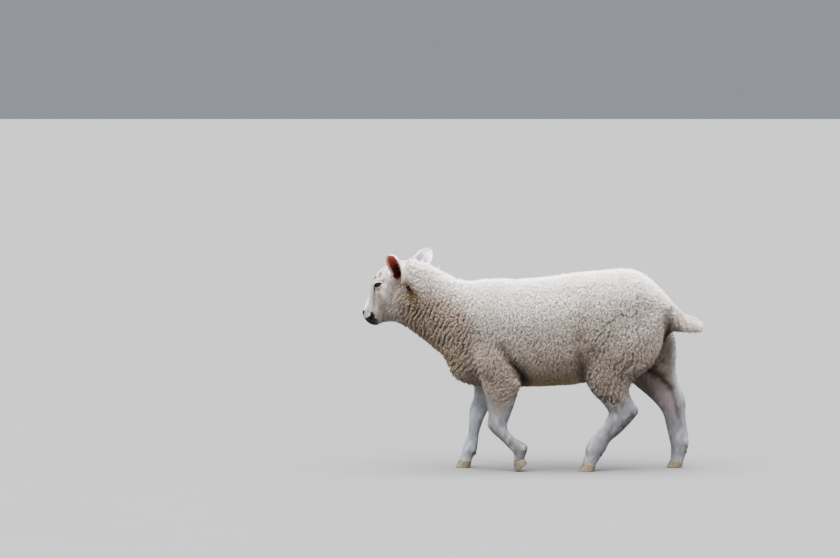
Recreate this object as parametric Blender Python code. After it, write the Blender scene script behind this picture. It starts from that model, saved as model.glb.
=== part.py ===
"""A young white lamb, life size, walking with its head turned a little to its right.

Metres, +Z up. The lamb faces -X, its left side is -Y and it stands on z = 0.
Every solid is the outline out to the tips of the coat.
"""

import math

import bmesh
import bpy
import numpy as np
from mathutils import Matrix, Vector
from mathutils.bvhtree import BVHTree

# ---------------------------------------------------------------- main sizes, metres
LENGTH = 0.860  # nose to tail tip
WITHERS = 0.475  # height at the withers
GAP = 0.0003  # between neighbouring pieces
BELLY_CUT = 0.2065  # height at which the legs leave the trunk
HEAD_TURN = math.radians(18)  # the head turns to the lamb's right about a vertical axis
HEAD_PIVOT = (-0.320, 0.0)
SHIFT = (-0.001227, 0.0)  # brings the middle of the bounding box onto the origin
VOXEL = 0.0036
BODY_TRIANGLES = 4900
EYE_R = 0.0122
EYE_AT = (-0.3765, 0.0342, 0.4628)  # local to the head, left eye mirrored
EYE_CLEAR = 0.0004

# ---------------------------------------------------------------- stations, millimetres
# Each row is one ring of a limb or of the body, seen from the side:
# (x, z of its upper or front point, x, z of its lower or rear point,
#  y of its middle, half width, shift of the widest place, squareness)
TRUNK = (
    (-211, 318, -211, 264, 0, 30, 0, 2.0),  # brisket tip
    (-201, 375, -200, 238, 0, 54, 0, 2.0),  # point of shoulder
    (-178, 435, -180, 221, 0, 73, 0, 2.1),  # shoulder
    (-142, 470, -140, 210, 0, 88, 0, 2.2),  # withers
    (-92, 475, -88, 208, 0, 99, -0.05, 2.25),  # elbow
    (-32, 474, -32, 209, 0, 105, -0.06, 2.3),  # girth
    (38, 480, 38, 211, 0, 111, -0.06, 2.3),  # barrel
    (108, 490, 105, 215, 0, 112, -0.02, 2.3),  # last rib
    (178, 496, 178, 230, 0, 107, 0.05, 2.3),  # hip
    (228, 500, 235, 255, 0, 100, 0.10, 2.2),  # croup
    (268, 492, 280, 285, 0, 90, 0.10, 2.15),  # rump
    (308, 461, 315, 312, 0, 72, 0.0, 2.1),  # pin bones
    (338, 430, 338, 335, 0, 46, 0, 2.0),  # tail head
    (355, 409, 352, 352, 0, 24, 0, 2.0),  # tail root
)
NECK = (
    (-345, 515, -368, 382, 5, 36, 0, 2.0),  # in the skull
    (-325, 526, -342, 369, 2, 45, 0, 2.0),  # nape
    (-300, 524, -318, 356, 1, 51, 0, 2.0),  # upper neck
    (-265, 513, -288, 336, 0, 56, -0.02, 2.0),  # middle of the neck
    (-230, 495, -258, 312, 0, 63, -0.04, 2.0),  # lower neck
    (-192, 475, -225, 286, 0, 76, -0.05, 2.05),  # neck base
    (-148, 468, -182, 240, 0, 86, -0.05, 2.1),  # in the chest
    (-108, 462, -138, 225, 0, 88, 0, 2.1),  # in the trunk
)
HEAD = (
    (-430.5, 391, -425, 375, 0, 10, 0, 2.2),  # nose tip
    (-431, 398, -415, 365, 0, 16.5, 0.05, 2.3),  # nostrils
    (-427.5, 406, -402, 359.5, 0, 20.5, 0.05, 2.3),  # lips
    (-421.5, 419, -390, 361.5, 0, 22.5, 0.05, 2.3),  # mouth corner
    (-415.5, 433, -377, 367, 0, 24.5, 0.05, 2.2),  # middle of the muzzle
    (-410.5, 449, -362, 369, 0, 31, 0.12, 2.15),  # below the eye
    (-406, 465, -348, 369, 0, 39, 0.22, 2.1),  # eye
    (-401, 480, -334, 371, 0, 44, 0.26, 2.1),  # brow
    (-390, 495, -321, 378, 0, 46, 0.24, 2.1),  # forehead
    (-369, 511, -310, 390, 0, 45, 0.2, 2.1),  # front of the poll
    (-345, 523, -301, 408, 0, 41, 0.1, 2.0),  # poll
    (-322, 523, -294, 430, 0, 33, 0, 2.0),  # back of the skull
)
FORELEG_LEFT = (
    (-162, 328, -45, 303, -66, 30, 0, 2.0),  # shoulder blade
    (-148, 273, -48, 263, -68, 33, 0, 2.0),  # upper arm
    (-130, 221, -30, 224, -66, 30, 0, 2.0),  # elbow
    (-121, 188, -41, 188, -64, 27, 0, 2.0),  # top of the forearm
    (-115, 158, -48, 163, -62, 23, 0, 2.0),  # forearm
    (-113, 138, -60, 131, -60, 20, 0, 2.0),  # foot of the forearm
    (-115, 116, -65, 116, -58, 20.5, 0, 2.1),  # knee
    (-104, 98, -61, 101, -58, 18, 0, 2.0),  # below the knee
    (-85, 81, -49, 88, -57, 15, 0, 2.0),  # top of the cannon
    (-66, 62, -32, 77, -57, 14.5, 0, 2.0),  # foot of the cannon
    (-51, 47, -15, 65, -57, 17.5, 0, 2.1),  # fetlock
    (-49, 37, -15, 51, -57, 16, 0, 2.0),  # pastern
    (-49, 27, -19, 40, -57, 16.5, 0, 2.0),  # coronet
    (-48, 17, -22, 30, -57, 14, 0, 2.0),  # in the hoof
)
FORELEG_RIGHT = (
    (-178, 322, -62, 297, 66, 30, 0, 2.0),  # shoulder blade
    (-162, 267, -58, 257, 68, 33, 0, 2.0),  # upper arm
    (-149, 212, -72, 212, 65, 29, 0, 2.0),  # elbow
    (-148, 184, -82, 184, 63, 25, 0, 2.0),  # top of the forearm
    (-153, 164, -96, 164, 62, 22, 0, 2.0),  # forearm
    (-158, 147, -110, 144, 60, 20, 0, 2.0),  # foot of the forearm
    (-160, 125, -120, 125, 58, 19.5, 0, 2.1),  # knee
    (-160, 107, -128, 104, 57, 17, 0, 2.0),  # below the knee
    (-162, 87, -133, 85, 56, 14.5, 0, 2.0),  # top of the cannon
    (-169, 68, -136, 65, 55, 14.5, 0, 2.0),  # foot of the cannon
    (-175, 48, -138, 45, 54, 17.5, 0, 2.1),  # fetlock
    (-180, 34, -147, 27, 54, 16, 0, 2.0),  # pastern
    (-184, 22, -152, 14, 54, 17, 0, 2.0),  # coronet
    (-185, 12, -154, 4, 54, 15, 0, 2.0),  # in the hoof
)
HINDLEG_LEFT = (
    (128, 383, 318, 398, -62, 34, 0, 2.0),  # hip
    (118, 338, 325, 346, -66, 38, 0, 2.0),  # upper thigh
    (112, 296, 317, 303, -67, 39, 0, 2.0),  # thigh
    (117, 258, 293, 263, -66, 36, 0, 2.0),  # stifle
    (130, 223, 252, 230, -63, 30, 0, 2.0),  # top of the gaskin
    (148, 193, 240, 203, -61, 25, 0, 2.0),  # gaskin
    (170, 172, 249, 178, -60, 21.5, 0, 2.0),  # foot of the gaskin
    (186, 148, 263, 153, -58, 20, 0, 2.1),  # hock
    (179, 130, 250, 130, -57, 17.5, 0, 2.0),  # below the hock
    (160, 102, 219, 97, -56, 15.5, 0, 2.0),  # cannon
    (142, 81, 193, 75, -55, 16, 0, 2.0),  # foot of the cannon
    (131, 61, 181, 53, -54, 18, 0, 2.1),  # fetlock
    (128, 42, 168, 34, -54, 16.5, 0, 2.0),  # pastern
    (123, 24, 157, 16, -54, 17.5, 0, 2.0),  # coronet
    (120, 13, 154, 5, -54, 15, 0, 2.0),  # in the hoof
)
HINDLEG_RIGHT = (
    (142, 372, 332, 392, 62, 34, 0, 2.0),  # hip
    (168, 317, 358, 334, 66, 36, 0, 2.0),  # upper thigh
    (198, 267, 362, 284, 66, 36, 0, 2.0),  # thigh
    (238, 224, 360, 252, 64, 32, 0, 2.0),  # stifle
    (272, 194, 365, 224, 61, 26.5, 0, 2.0),  # top of the gaskin
    (301, 169, 378, 193, 59, 22.5, 0, 2.0),  # gaskin
    (320, 148, 386, 165, 57, 20, 0, 2.1),  # hock
    (330, 129, 386, 134, 56, 17.5, 0, 2.0),  # below the hock
    (336, 104, 389, 107, 55, 15.5, 0, 2.0),  # cannon
    (342, 79, 393, 80, 54, 16, 0, 2.0),  # foot of the cannon
    (347, 58, 394, 59, 53, 18, 0, 2.1),  # fetlock
    (348, 39, 387, 34, 53, 16.5, 0, 2.0),  # pastern
    (347, 22, 381, 14, 53, 17.5, 0, 2.0),  # coronet
    (345, 11, 379, 3, 53, 15, 0, 2.0),  # in the hoof
)
TAIL = (
    (328, 435, 322, 355, 0, 28, 0, 2.0),  # in the rump
    (352, 412, 345, 348, 0, 25, 0, 2.0),  # root
    (375, 392, 368, 344, 0, 21, 0, 2.0),  # upper third
    (395, 384, 390, 342, 0, 18, 0, 2.0),  # middle
    (415, 377, 411, 342, 0, 15, 0, 2.0),  # lower third
    (427, 368, 426, 346, 0, 10, 0, 2.0),  # tip
)

# ---------------------------------------------------------------- swells and hollows
# (x1, z1, x2, z2, y from, y to, radius, height) along a line, millimetres, on the sides whose y lies between
BODY_SWELLS = (
    (-150, 390, -120, 300, -200, 200, 34, 4.0),  # shoulder
    (-84, 314, -26, 230, -200, -30, 12, -6.0),  # crease behind the left elbow
    (-90, 318, -62, 230, 30, 200, 12, -5.0),  # crease behind the right elbow
    (113, 326, 117, 240, -200, -30, 14, -6.0),  # crease before the left thigh
    (150, 318, 190, 250, 30, 200, 15, -5.0),  # crease before the right thigh
    (200, 350, 240, 310, -200, -30, 48, 4.0),  # left thigh
    (240, 350, 270, 310, 30, 200, 48, 4.0),  # right thigh
    (-215, 250, -190, 300, -60, 60, 30, 2.0),  # brisket
    (345, 400, 330, 345, -60, 60, 9, -3.0),  # fold round the tail
)
HEAD_SWELLS = (
    (-349, 432, -345, 405, -200, 200, 20, 2.2),  # cheek
    (-388, 477, -366, 482, 25, 200, 8, 1.8),  # brow over the right eye
    (-388, 477, -366, 482, -200, -25, 8, 1.8),  # brow over the left eye
    (-392, 452, -384, 446, 18, 200, 9, -1.6),  # tear pit, right
    (-392, 452, -384, 446, -200, -18, 9, -1.6),  # tear pit, left
    (-424, 392, -421, 398, 8, 200, 6, 1.0),  # wing of the right nostril
    (-424, 392, -421, 398, -200, -8, 6, 1.0),  # wing of the left nostril
    (-414, 376, -398, 382, 8, 200, 7, 1.0),  # right lip
    (-414, 376, -398, 382, -200, -8, 7, 1.0),  # left lip
)
# (x, z, y from, y to, radius): places where limbs run into the body and the surface is eased more
EASED = (
    (-250, 330, -200, 200, 60),
    (-185, 430, -200, 200, 60),
    (-335, 380, -200, 200, 30),
    (-325, 500, -200, 200, 26),
    (-100, 225, -200, 200, 42),
    (130, 260, -200, 200, 50),
    (230, 260, -200, 200, 60),
    (300, 330, -200, 200, 60),
    (200, 400, -200, 200, 80),
    (-110, 320, -200, 200, 70),
)

# ---------------------------------------------------------------- ears
# name, root, direction of the long axis, direction the opening faces, bow of the middle, length, half width
EARS = (
    ("ear_left", (-0.3355, -0.0360, 0.4795), (-0.11, -0.72, 0.685), (-0.62, -0.42, -0.60), (-0.0075, 0.0, 0.0), 0.092, 0.0245),
    ("ear_right", (-0.3095, 0.0400, 0.4850), (0.60, 0.33, 0.72), (0.05, -0.86, 0.42), (0.0, 0.0, 0.0), 0.087, 0.0200),
)
EAR_THICK = 0.0036

# ---------------------------------------------------------------- claws
# foot, toe x, heel x at the sole, coronet front (x, z), coronet back (x, z), y of the foot, pitch about the toe
FEET = (
    ("foreleg_left", -0.0460, -0.0080, (-0.0350, 0.0225), (-0.0055, 0.0150), -0.057, 36.0),
    ("foreleg_right", -0.1945, -0.1560, (-0.1830, 0.0215), (-0.1525, 0.0138), 0.054, 0.0),
    ("hindleg_left", 0.1120, 0.1520, (0.1240, 0.0235), (0.1560, 0.0155), -0.054, 0.0),
    ("hindleg_right", 0.3360, 0.3760, (0.3480, 0.0215), (0.3800, 0.0138), 0.053, 0.0),
)
CLAW_WIDTH = 0.0168
CLAW_SPREAD = 0.0012  # half of the cleft
TOE_FLAT = 0.0020  # taken off the tip of the flexed foot's claws

MM = 0.001


# ---------------------------------------------------------------- helpers
def clear_scene():
    for thing in list(bpy.data.objects):
        bpy.data.objects.remove(thing, do_unlink=True)
    for mesh in list(bpy.data.meshes):
        bpy.data.meshes.remove(mesh)


def material(name, colour, rough):
    mat = bpy.data.materials.new(name)
    mat.use_nodes = True
    shader = mat.node_tree.nodes["Principled BSDF"]
    shader.inputs["Base Color"].default_value = (*colour, 1.0)
    shader.inputs["Roughness"].default_value = rough
    mat.diffuse_color = (*colour, 1.0)
    return mat


def put(name, mesh, colour=(0.8, 0.78, 0.74), rough=0.9):
    thing = bpy.data.objects.new(name, mesh)
    bpy.context.scene.collection.objects.link(thing)
    mesh.materials.clear()
    mesh.materials.append(material(name + "_finish", colour, rough))
    return thing


def along(rows, steps):
    """The rows with steps rings between each two, on a Catmull-Rom curve."""
    rows = np.array(rows, float)
    padded = np.vstack([2 * rows[0] - rows[1], rows, 2 * rows[-1] - rows[-2]])
    out = []
    for i in range(len(rows) - 1):
        p0, p1, p2, p3 = padded[i : i + 4]
        for s in range(steps):
            t = s / steps
            out.append(
                0.5
                * (
                    2 * p1
                    + (p2 - p0) * t
                    + (2 * p0 - 5 * p1 + 4 * p2 - p3) * t * t
                    + (3 * p1 - p0 - 3 * p2 + p3) * t**3
                )
            )
    out.append(rows[-1])
    return np.array(out)


def loft(rows, around=32, steps=5):
    """Points and faces of the closed body whose rings are the rows."""
    rings = along(rows, steps)
    angle = np.arange(around) * 2 * math.pi / around
    points = []
    for ax, az, bx, bz, y, half, widest, square in rings:
        c = np.sign(np.cos(angle)) * np.abs(np.cos(angle)) ** (2 / square)
        s = np.sign(np.sin(angle)) * np.abs(np.sin(angle)) ** (2 / square)
        c = c + widest * (1 - c * c)
        x = (ax + bx) / 2 + (ax - bx) / 2 * c
        z = (az + bz) / 2 + (az - bz) / 2 * c
        points.append(np.stack([x, y + half * s, z], 1))
    ring_count = len(points)
    points = np.concatenate(points)
    faces = []
    for r in range(ring_count - 1):
        for i in range(around):
            j = (i + 1) % around
            faces.append((r * around + i, r * around + j, (r + 1) * around + j, (r + 1) * around + i))
    first, last = points[:around], points[-around:]
    for end, beyond, ring0 in ((first, points[around : 2 * around], 0), (last, points[-2 * around : -around], (ring_count - 1) * around)):
        middle = end.mean(0)
        tip = middle + (middle - beyond.mean(0)) * 0.6
        points = np.vstack([points, tip])
        tip_index = len(points) - 1
        for i in range(around):
            j = (i + 1) % around
            pair = (ring0 + j, ring0 + i) if ring0 == 0 else (ring0 + i, ring0 + j)
            faces.append((*pair, tip_index))
    return points * MM, faces


def turned(points):
    """Head points turned by the turn of the head."""
    cos, sin = math.cos(HEAD_TURN), math.sin(HEAD_TURN)
    out = np.array(points, float)
    x, y = out[:, 0] - HEAD_PIVOT[0], out[:, 1] - HEAD_PIVOT[1]
    out[:, 0] = HEAD_PIVOT[0] + x * cos + y * sin
    out[:, 1] = HEAD_PIVOT[1] - x * sin + y * cos
    return out


def unturned(points):
    cos, sin = math.cos(HEAD_TURN), math.sin(HEAD_TURN)
    out = np.array(points, float)
    x, y = out[:, 0] - HEAD_PIVOT[0], out[:, 1] - HEAD_PIVOT[1]
    out[:, 0] = HEAD_PIVOT[0] + x * cos - y * sin
    out[:, 1] = HEAD_PIVOT[1] + x * sin + y * cos
    return out


def mesh_of(points, faces, name="shape"):
    mesh = bpy.data.meshes.new(name)
    mesh.from_pydata([tuple(p) for p in points], [], [tuple(f) for f in faces])
    mesh.update()
    build = bmesh.new()
    build.from_mesh(mesh)
    bmesh.ops.recalc_face_normals(build, faces=build.faces)
    build.to_mesh(mesh)
    build.free()
    return mesh


def joined(parts):
    points, faces, base = [], [], 0
    for p, f in parts:
        points.append(p)
        faces += [tuple(i + base for i in face) for face in f]
        base += len(p)
    return np.concatenate(points), faces


def applied(mesh, kind, **settings):
    """The mesh with one modifier applied."""
    thing = bpy.data.objects.new("work", mesh)
    bpy.context.scene.collection.objects.link(thing)
    modifier = thing.modifiers.new("step", kind)
    for key, value in settings.items():
        setattr(modifier, key, value)
    graph = bpy.context.evaluated_depsgraph_get()
    done = bpy.data.meshes.new_from_object(thing.evaluated_get(graph))
    bpy.data.objects.remove(thing, do_unlink=True)
    return done


def without(mesh, cutter_mesh):
    """The mesh less the cutter, keeping its largest piece."""
    cutter = bpy.data.objects.new("cutter", cutter_mesh)
    bpy.context.scene.collection.objects.link(cutter)
    done = applied(mesh, "BOOLEAN", operation="DIFFERENCE", solver="EXACT", object=cutter)
    bpy.data.objects.remove(cutter, do_unlink=True)
    return largest(done)


def largest(mesh):
    build = bmesh.new()
    build.from_mesh(mesh)
    bmesh.ops.triangulate(build, faces=build.faces)
    bmesh.ops.remove_doubles(build, verts=build.verts, dist=2e-6)
    build.verts.ensure_lookup_table()
    seen, best = set(), []
    for start in build.verts:
        if start.index in seen:
            continue
        group, stack = [], [start]
        seen.add(start.index)
        while stack:
            vert = stack.pop()
            group.append(vert)
            for edge in vert.link_edges:
                other = edge.other_vert(vert)
                if other.index not in seen:
                    seen.add(other.index)
                    stack.append(other)
        if len(group) > len(best):
            best = group
    keep = set(best)
    bmesh.ops.delete(build, geom=[v for v in build.verts if v not in keep], context="VERTS")
    build.to_mesh(mesh)
    build.free()
    return mesh


def coordinates(mesh):
    flat = np.empty(len(mesh.vertices) * 3)
    mesh.vertices.foreach_get("co", flat)
    return flat.reshape(-1, 3)


def set_coordinates(mesh, points):
    mesh.vertices.foreach_set("co", np.ascontiguousarray(points, float).ravel())
    mesh.update()


def normals(mesh):
    flat = np.empty(len(mesh.vertices) * 3)
    mesh.vertices.foreach_get("normal", flat)
    return flat.reshape(-1, 3)


def edges_of(mesh):
    flat = np.empty(len(mesh.edges) * 2, np.int32)
    mesh.edges.foreach_get("vertices", flat)
    return flat.reshape(-1, 2)


def smoothed(points, edges, passes, weight, shrink=True):
    """Laplacian easing, each point by its weight; without shrink, every second pass pushes back out."""
    count = np.bincount(edges.ravel(), minlength=len(points))[:, None]
    for i in range(passes):
        total = np.zeros_like(points)
        for a in range(3):
            total[:, a] = np.bincount(edges[:, 0], points[edges[:, 1], a], len(points)) + np.bincount(
                edges[:, 1], points[edges[:, 0], a], len(points)
            )
        push = 0.5 if shrink or i % 2 == 0 else -0.52
        points = points + (total / count - points) * weight * push
    return points


def line_field(points_mm, x1, z1, x2, z2, y1, y2, radius):
    """1 on the line and falling away from it, on the side between the two y values."""
    ax, az = points_mm[:, 0] - x1, points_mm[:, 2] - z1
    dx, dz = x2 - x1, z2 - z1
    t = np.clip((ax * dx + az * dz) / max(dx * dx + dz * dz, 1e-9), 0, 1)
    d2 = (ax - t * dx) ** 2 + (az - t * dz) ** 2
    side = 1 / (1 + np.exp(-(points_mm[:, 1] - y1) / 3)) * 1 / (1 + np.exp((points_mm[:, 1] - y2) / 3))
    return np.exp(-d2 / (radius * radius)) * side


def swell(points, normal, rows):
    out = np.array(points)
    for x1, z1, x2, z2, y1, y2, radius, height in rows:
        out += normal * (line_field(points / MM, x1, z1, x2, z2, y1, y2, radius) * height * MM)[:, None]
    return out


def cut(mesh, point, normal, keep_positive):
    """The part of a closed mesh on one side of a plane, closed again."""
    build = bmesh.new()
    build.from_mesh(mesh)
    bmesh.ops.triangulate(build, faces=build.faces)
    geometry = build.verts[:] + build.edges[:] + build.faces[:]
    result = bmesh.ops.bisect_plane(
        build,
        geom=geometry,
        dist=3e-5,
        plane_co=point,
        plane_no=normal,
        clear_inner=keep_positive,
        clear_outer=not keep_positive,
    )
    rim = [e for e in build.edges if e.is_boundary]
    bmesh.ops.holes_fill(build, edges=rim, sides=0)
    bmesh.ops.triangulate(build, faces=[f for f in build.faces if len(f.verts) > 3])
    bmesh.ops.recalc_face_normals(build, faces=build.faces)
    done = bpy.data.meshes.new("cut")
    build.to_mesh(done)
    build.free()
    return done


def islands_by(mesh, chooser):
    """The mesh's loose pieces, each under the name that chooser gives its middle."""
    build = bmesh.new()
    build.from_mesh(mesh)
    build.verts.ensure_lookup_table()
    seen, groups = set(), {}
    for start in build.verts:
        if start.index in seen:
            continue
        group, stack = [], [start]
        seen.add(start.index)
        while stack:
            vert = stack.pop()
            group.append(vert.index)
            for edge in vert.link_edges:
                other = edge.other_vert(vert)
                if other.index not in seen:
                    seen.add(other.index)
                    stack.append(other)
        if len(group) < 12:
            continue
        middle = sum((build.verts[i].co for i in group), Vector()) / len(group)
        groups[chooser(middle)] = set(group)
    build.free()
    pieces = {}
    for name, group in groups.items():
        build = bmesh.new()
        build.from_mesh(mesh)
        bmesh.ops.delete(build, geom=[v for v in build.verts if v.index not in group], context="VERTS")
        piece = bpy.data.meshes.new(name)
        build.to_mesh(piece)
        build.free()
        pieces[name] = piece
    return pieces


def ball(radius, centre, segments=16, rings=10):
    build = bmesh.new()
    bmesh.ops.create_uvsphere(build, u_segments=segments, v_segments=rings, radius=radius)
    bmesh.ops.rotate(build, verts=build.verts, matrix=Matrix.Rotation(math.pi / 2, 3, "X"))
    bmesh.ops.translate(build, verts=build.verts, vec=centre)
    mesh = bpy.data.meshes.new("ball")
    build.to_mesh(mesh)
    build.free()
    return mesh


def ear_shape(root, axis, opening, bow, length, half, thick, rows=10, columns=7):
    """A leaf-shaped shell, rolled at its root and open towards its tip."""
    axis = Vector(axis).normalized()
    opening = Vector(opening)
    opening = (opening - axis * opening.dot(axis)).normalized()
    side = axis.cross(opening)
    root = Vector(root)
    inner, outer = [], []
    for r in range(rows):
        u = r / (rows - 1)
        width = half * (0.38 + 0.62 * math.sin(min(1.0, u / 0.62) * math.pi / 2))
        width *= max(0.0, 1 - max(0.0, (u - 0.60) / 0.40) ** 2.4) ** 0.55
        width = max(width, half * 0.16)
        roll = math.radians(118 - 62 * min(1.0, u / 0.75))
        radius = width / math.sin(min(roll, math.pi / 2))
        bend = 0.10 * length * (u - 0.25) ** 2
        for c in range(columns):
            v = c / (columns - 1) * 2 - 1
            a = v * roll
            across = radius * math.sin(a)
            depth = -radius * (math.cos(a) - math.cos(roll)) * 0.85
            here = root + axis * (length * (u - 0.12) / 0.88) + side * across + opening * (depth + bend)
            here += Vector(bow) * (4 * u * (1 - u))
            outward = (side * math.sin(a) - opening * math.cos(a)).normalized()
            edge = 1 - 0.45 * abs(v) ** 3
            inner.append(here)
            outer.append(here + outward * thick * edge * (1 - 0.35 * u))
    points = [tuple(p) for p in inner + outer]
    count, faces = rows * columns, []
    for r in range(rows - 1):
        for c in range(columns - 1):
            i = r * columns + c
            faces.append((i, i + 1, i + columns + 1, i + columns))
            faces.append((count + i, count + i + columns, count + i + columns + 1, count + i + 1))
    border = [c for c in range(columns)]
    border += [r * columns + columns - 1 for r in range(1, rows)]
    border += [(rows - 1) * columns + c for c in range(columns - 2, -1, -1)]
    border += [r * columns for r in range(rows - 2, 0, -1)]
    for i, a in enumerate(border):
        b = border[(i + 1) % len(border)]
        faces.append((a, b, count + b, count + a))
    return mesh_of(points, faces, "ear")


def claw_mesh(toe, heel, front, back, y, side, pitch):
    """One claw of a foot: side is -1 or +1, the way it lies from the middle of the foot."""
    outline = [
        (0.00, 0.10), (0.05, 0.42), (0.15, 0.70), (0.32, 0.92), (0.52, 1.00), (0.74, 0.96), (0.90, 0.78), (1.00, 0.42),
        (1.00, 0.10), (0.92, 0.0), (0.70, 0.0), (0.48, 0.02), (0.26, 0.03), (0.08, 0.02),
    ]
    levels = (
        (0.0, 0.94), (0.05, 1.0), (0.35, 0.99), (0.70, 0.96), (0.97, 0.92),
    )
    points, count = [], len(outline)
    for level, width in levels:
        for s, w in outline:
            low_x = toe + (heel - toe) * s
            top_x = front[0] + 0.0006 + (back[0] - front[0] - 0.0012) * s
            top_z = front[1] + (back[1] - front[1]) * s - GAP
            trim = 0.0009 if level == 0.0 else 0.0
            x = low_x + (top_x - low_x) * level
            if level == 0.0:
                x = toe + trim + (heel - toe - 2 * trim) * s
            points.append(
                (x, y + side * (CLAW_SPREAD + w * CLAW_WIDTH * width), top_z * (level / 0.97 if level > 0.9 else level))
            )
    faces = []
    for r in range(len(levels) - 1):
        for i in range(count):
            j = (i + 1) % count
            faces.append((r * count + i, r * count + j, (r + 1) * count + j, (r + 1) * count + i))
    faces.append(tuple(range(count))[::-1])
    faces.append(tuple((len(levels) - 1) * count + i for i in range(count)))
    mesh = mesh_of(points, faces, "claw")
    if pitch:
        spin = Matrix.Rotation(math.radians(-pitch), 4, "Y")
        pivot = Matrix.Translation((toe, y, 0.0))
        mesh.transform(pivot @ spin @ pivot.inverted())
        lift = -coordinates(mesh)[:, 2].min() - TOE_FLAT
        mesh.transform(Matrix.Translation((0.0, 0.0, lift)))
        mesh = cut(mesh, (0, 0, 0), (0, 0, 1), True)
    build = bmesh.new()
    build.from_mesh(mesh)
    bmesh.ops.triangulate(build, faces=build.faces)
    build.to_mesh(mesh)
    build.free()
    return mesh


def pitched(point, toe, pitch, lift):
    """A point (x, z) of a foot after the pitch about its toe."""
    a = math.radians(-pitch)
    x, z = point[0] - toe, point[1]
    return (toe + x * math.cos(a) + z * math.sin(a), -x * math.sin(a) + z * math.cos(a) + lift)


# ---------------------------------------------------------------- the body in one piece
clear_scene()
head_points, head_faces = loft(HEAD, 36, 6)
parts = [
    loft(TRUNK, 48, 5),
    loft(NECK, 40, 5),
    (turned(head_points), head_faces),
    loft(FORELEG_LEFT, 28, 4),
    loft(FORELEG_RIGHT, 28, 4),
    loft(HINDLEG_LEFT, 32, 4),
    loft(HINDLEG_RIGHT, 32, 4),
]
raw = mesh_of(*joined(parts), "raw")
body = applied(raw, "REMESH", mode="VOXEL", voxel_size=VOXEL, adaptivity=0.0)
points, edges = coordinates(body), edges_of(body)
eased = np.zeros(len(points))
for x, z, y1, y2, radius in EASED:
    eased = np.maximum(eased, line_field(points / MM, x, z, x, z, y1, y2, radius))
points = smoothed(points, edges, 6, np.ones((len(points), 1)), shrink=False)
points = smoothed(points, edges, 36, (eased**0.7)[:, None], shrink=True)
set_coordinates(body, points)
points = swell(points, normals(body), BODY_SWELLS)
set_coordinates(body, points)
local = unturned(points)
head_here = 1 / (1 + np.exp((local[:, 0] + 0.318) / 0.006))
local_normals = unturned(np.array(normals(body)) + np.array([HEAD_PIVOT[0], HEAD_PIVOT[1], 0]))
local_normals[:, 0] -= HEAD_PIVOT[0]
local_normals[:, 1] -= HEAD_PIVOT[1]
moved = swell(local, local_normals, HEAD_SWELLS)
local += (moved - local) * head_here[:, None]
set_coordinates(body, turned(local))
ratio = BODY_TRIANGLES / (2 * len(body.polygons))
body = applied(body, "DECIMATE", decimate_type="COLLAPSE", ratio=ratio, use_collapse_triangulate=True)
body = largest(body)

# the same body a little larger, for fitting what meets it
around_body = body.copy()
set_coordinates(around_body, coordinates(body) + normals(body) * 0.0004)

# ---------------------------------------------------------------- head, neck, trunk and legs
half = GAP / 2
upper = cut(body, (0, 0, BELLY_CUT + half), (0, 0, 1), True)
lower = cut(body, (0, 0, BELLY_CUT - half), (0, 0, 1), False)
legs = islands_by(
    lower,
    lambda m: ("foreleg_" if m.x < 0 else "hindleg_") + ("left" if m.y < 0 else "right"),
)
trunk_low, trunk_high = Vector((-0.2175, 0, 0.275)), Vector((-0.1675, 0, 0.470))
trunk_way = (trunk_high - trunk_low).normalized()
trunk_normal = Vector((trunk_way.z, 0, -trunk_way.x))
head_low, head_high = Vector((-0.3275, 0, 0.355)), Vector((-0.2975, 0, 0.5375))
head_way = (head_high - head_low).normalized()
head_normal = Matrix.Rotation(-HEAD_TURN, 3, "Z") @ Vector((head_way.z, 0, -head_way.x))
trunk = largest(cut(upper, trunk_low + trunk_normal * half, trunk_normal, True))
front = cut(upper, trunk_low - trunk_normal * half, trunk_normal, False)
neck = largest(cut(front, head_low + head_normal * half, head_normal, True))
head = largest(cut(front, head_low - head_normal * half, head_normal, False))

eyes = {}
for name, side in (("eye_left", -1), ("eye_right", 1)):
    centre = turned([(EYE_AT[0], side * EYE_AT[1], EYE_AT[2])])[0]
    eyes[name] = ball(EYE_R, Vector(centre))
    head = without(head, ball(EYE_R + EYE_CLEAR, Vector(centre), 18, 12))

put("trunk", trunk)
put("neck", neck)
put("head", head)
for name, mesh in eyes.items():
    put(name, mesh, (0.03, 0.02, 0.015), 0.1)

# ---------------------------------------------------------------- ears and tail
for name, root, axis, opening, bow, length, width in EARS:
    ear = ear_shape(root, axis, opening, bow, length, width, EAR_THICK)
    put(name, without(ear, around_body), (0.8, 0.66, 0.62), 0.8)
tail = mesh_of(*loft(TAIL, 16, 2), "tail")
put("tail", without(tail, around_body))

# ---------------------------------------------------------------- legs and claws
for leg, toe, heel, front_top, back_top, y, pitch in FEET:
    lift = 0.0
    if pitch:
        low = min(
            pitched(p, toe, pitch, 0.0)[1] for p in ((toe, 0.0), (toe + 0.0009, 0.0), (heel, 0.0))
        )
        lift = -low - TOE_FLAT
    top1 = pitched(front_top, toe, pitch, lift) if pitch else front_top
    top2 = pitched(back_top, toe, pitch, lift) if pitch else back_top
    way = Vector((top2[0] - top1[0], 0, top2[1] - top1[1])).normalized()
    plane = Vector((-way.z, 0, way.x))
    shape = cut(legs[leg], Vector((top1[0], 0, top1[1])), plane, True)
    put(leg, largest(shape))
    for side, word in ((-1, "a"), (1, "b")):
        outer = "lateral" if side * y > 0 else "medial"
        claw = claw_mesh(toe, heel, front_top, back_top, y, side, pitch)
        put(f"claw_{leg}_{outer}", claw, (0.20, 0.17, 0.14), 0.55)

for thing in bpy.data.objects:
    thing.data.transform(Matrix.Translation((SHIFT[0], SHIFT[1], 0.0)))
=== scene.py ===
"""A young white lamb in life size, walking: one skin, a coat of mesh locks, eyes and claws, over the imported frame."""

import math

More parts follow.
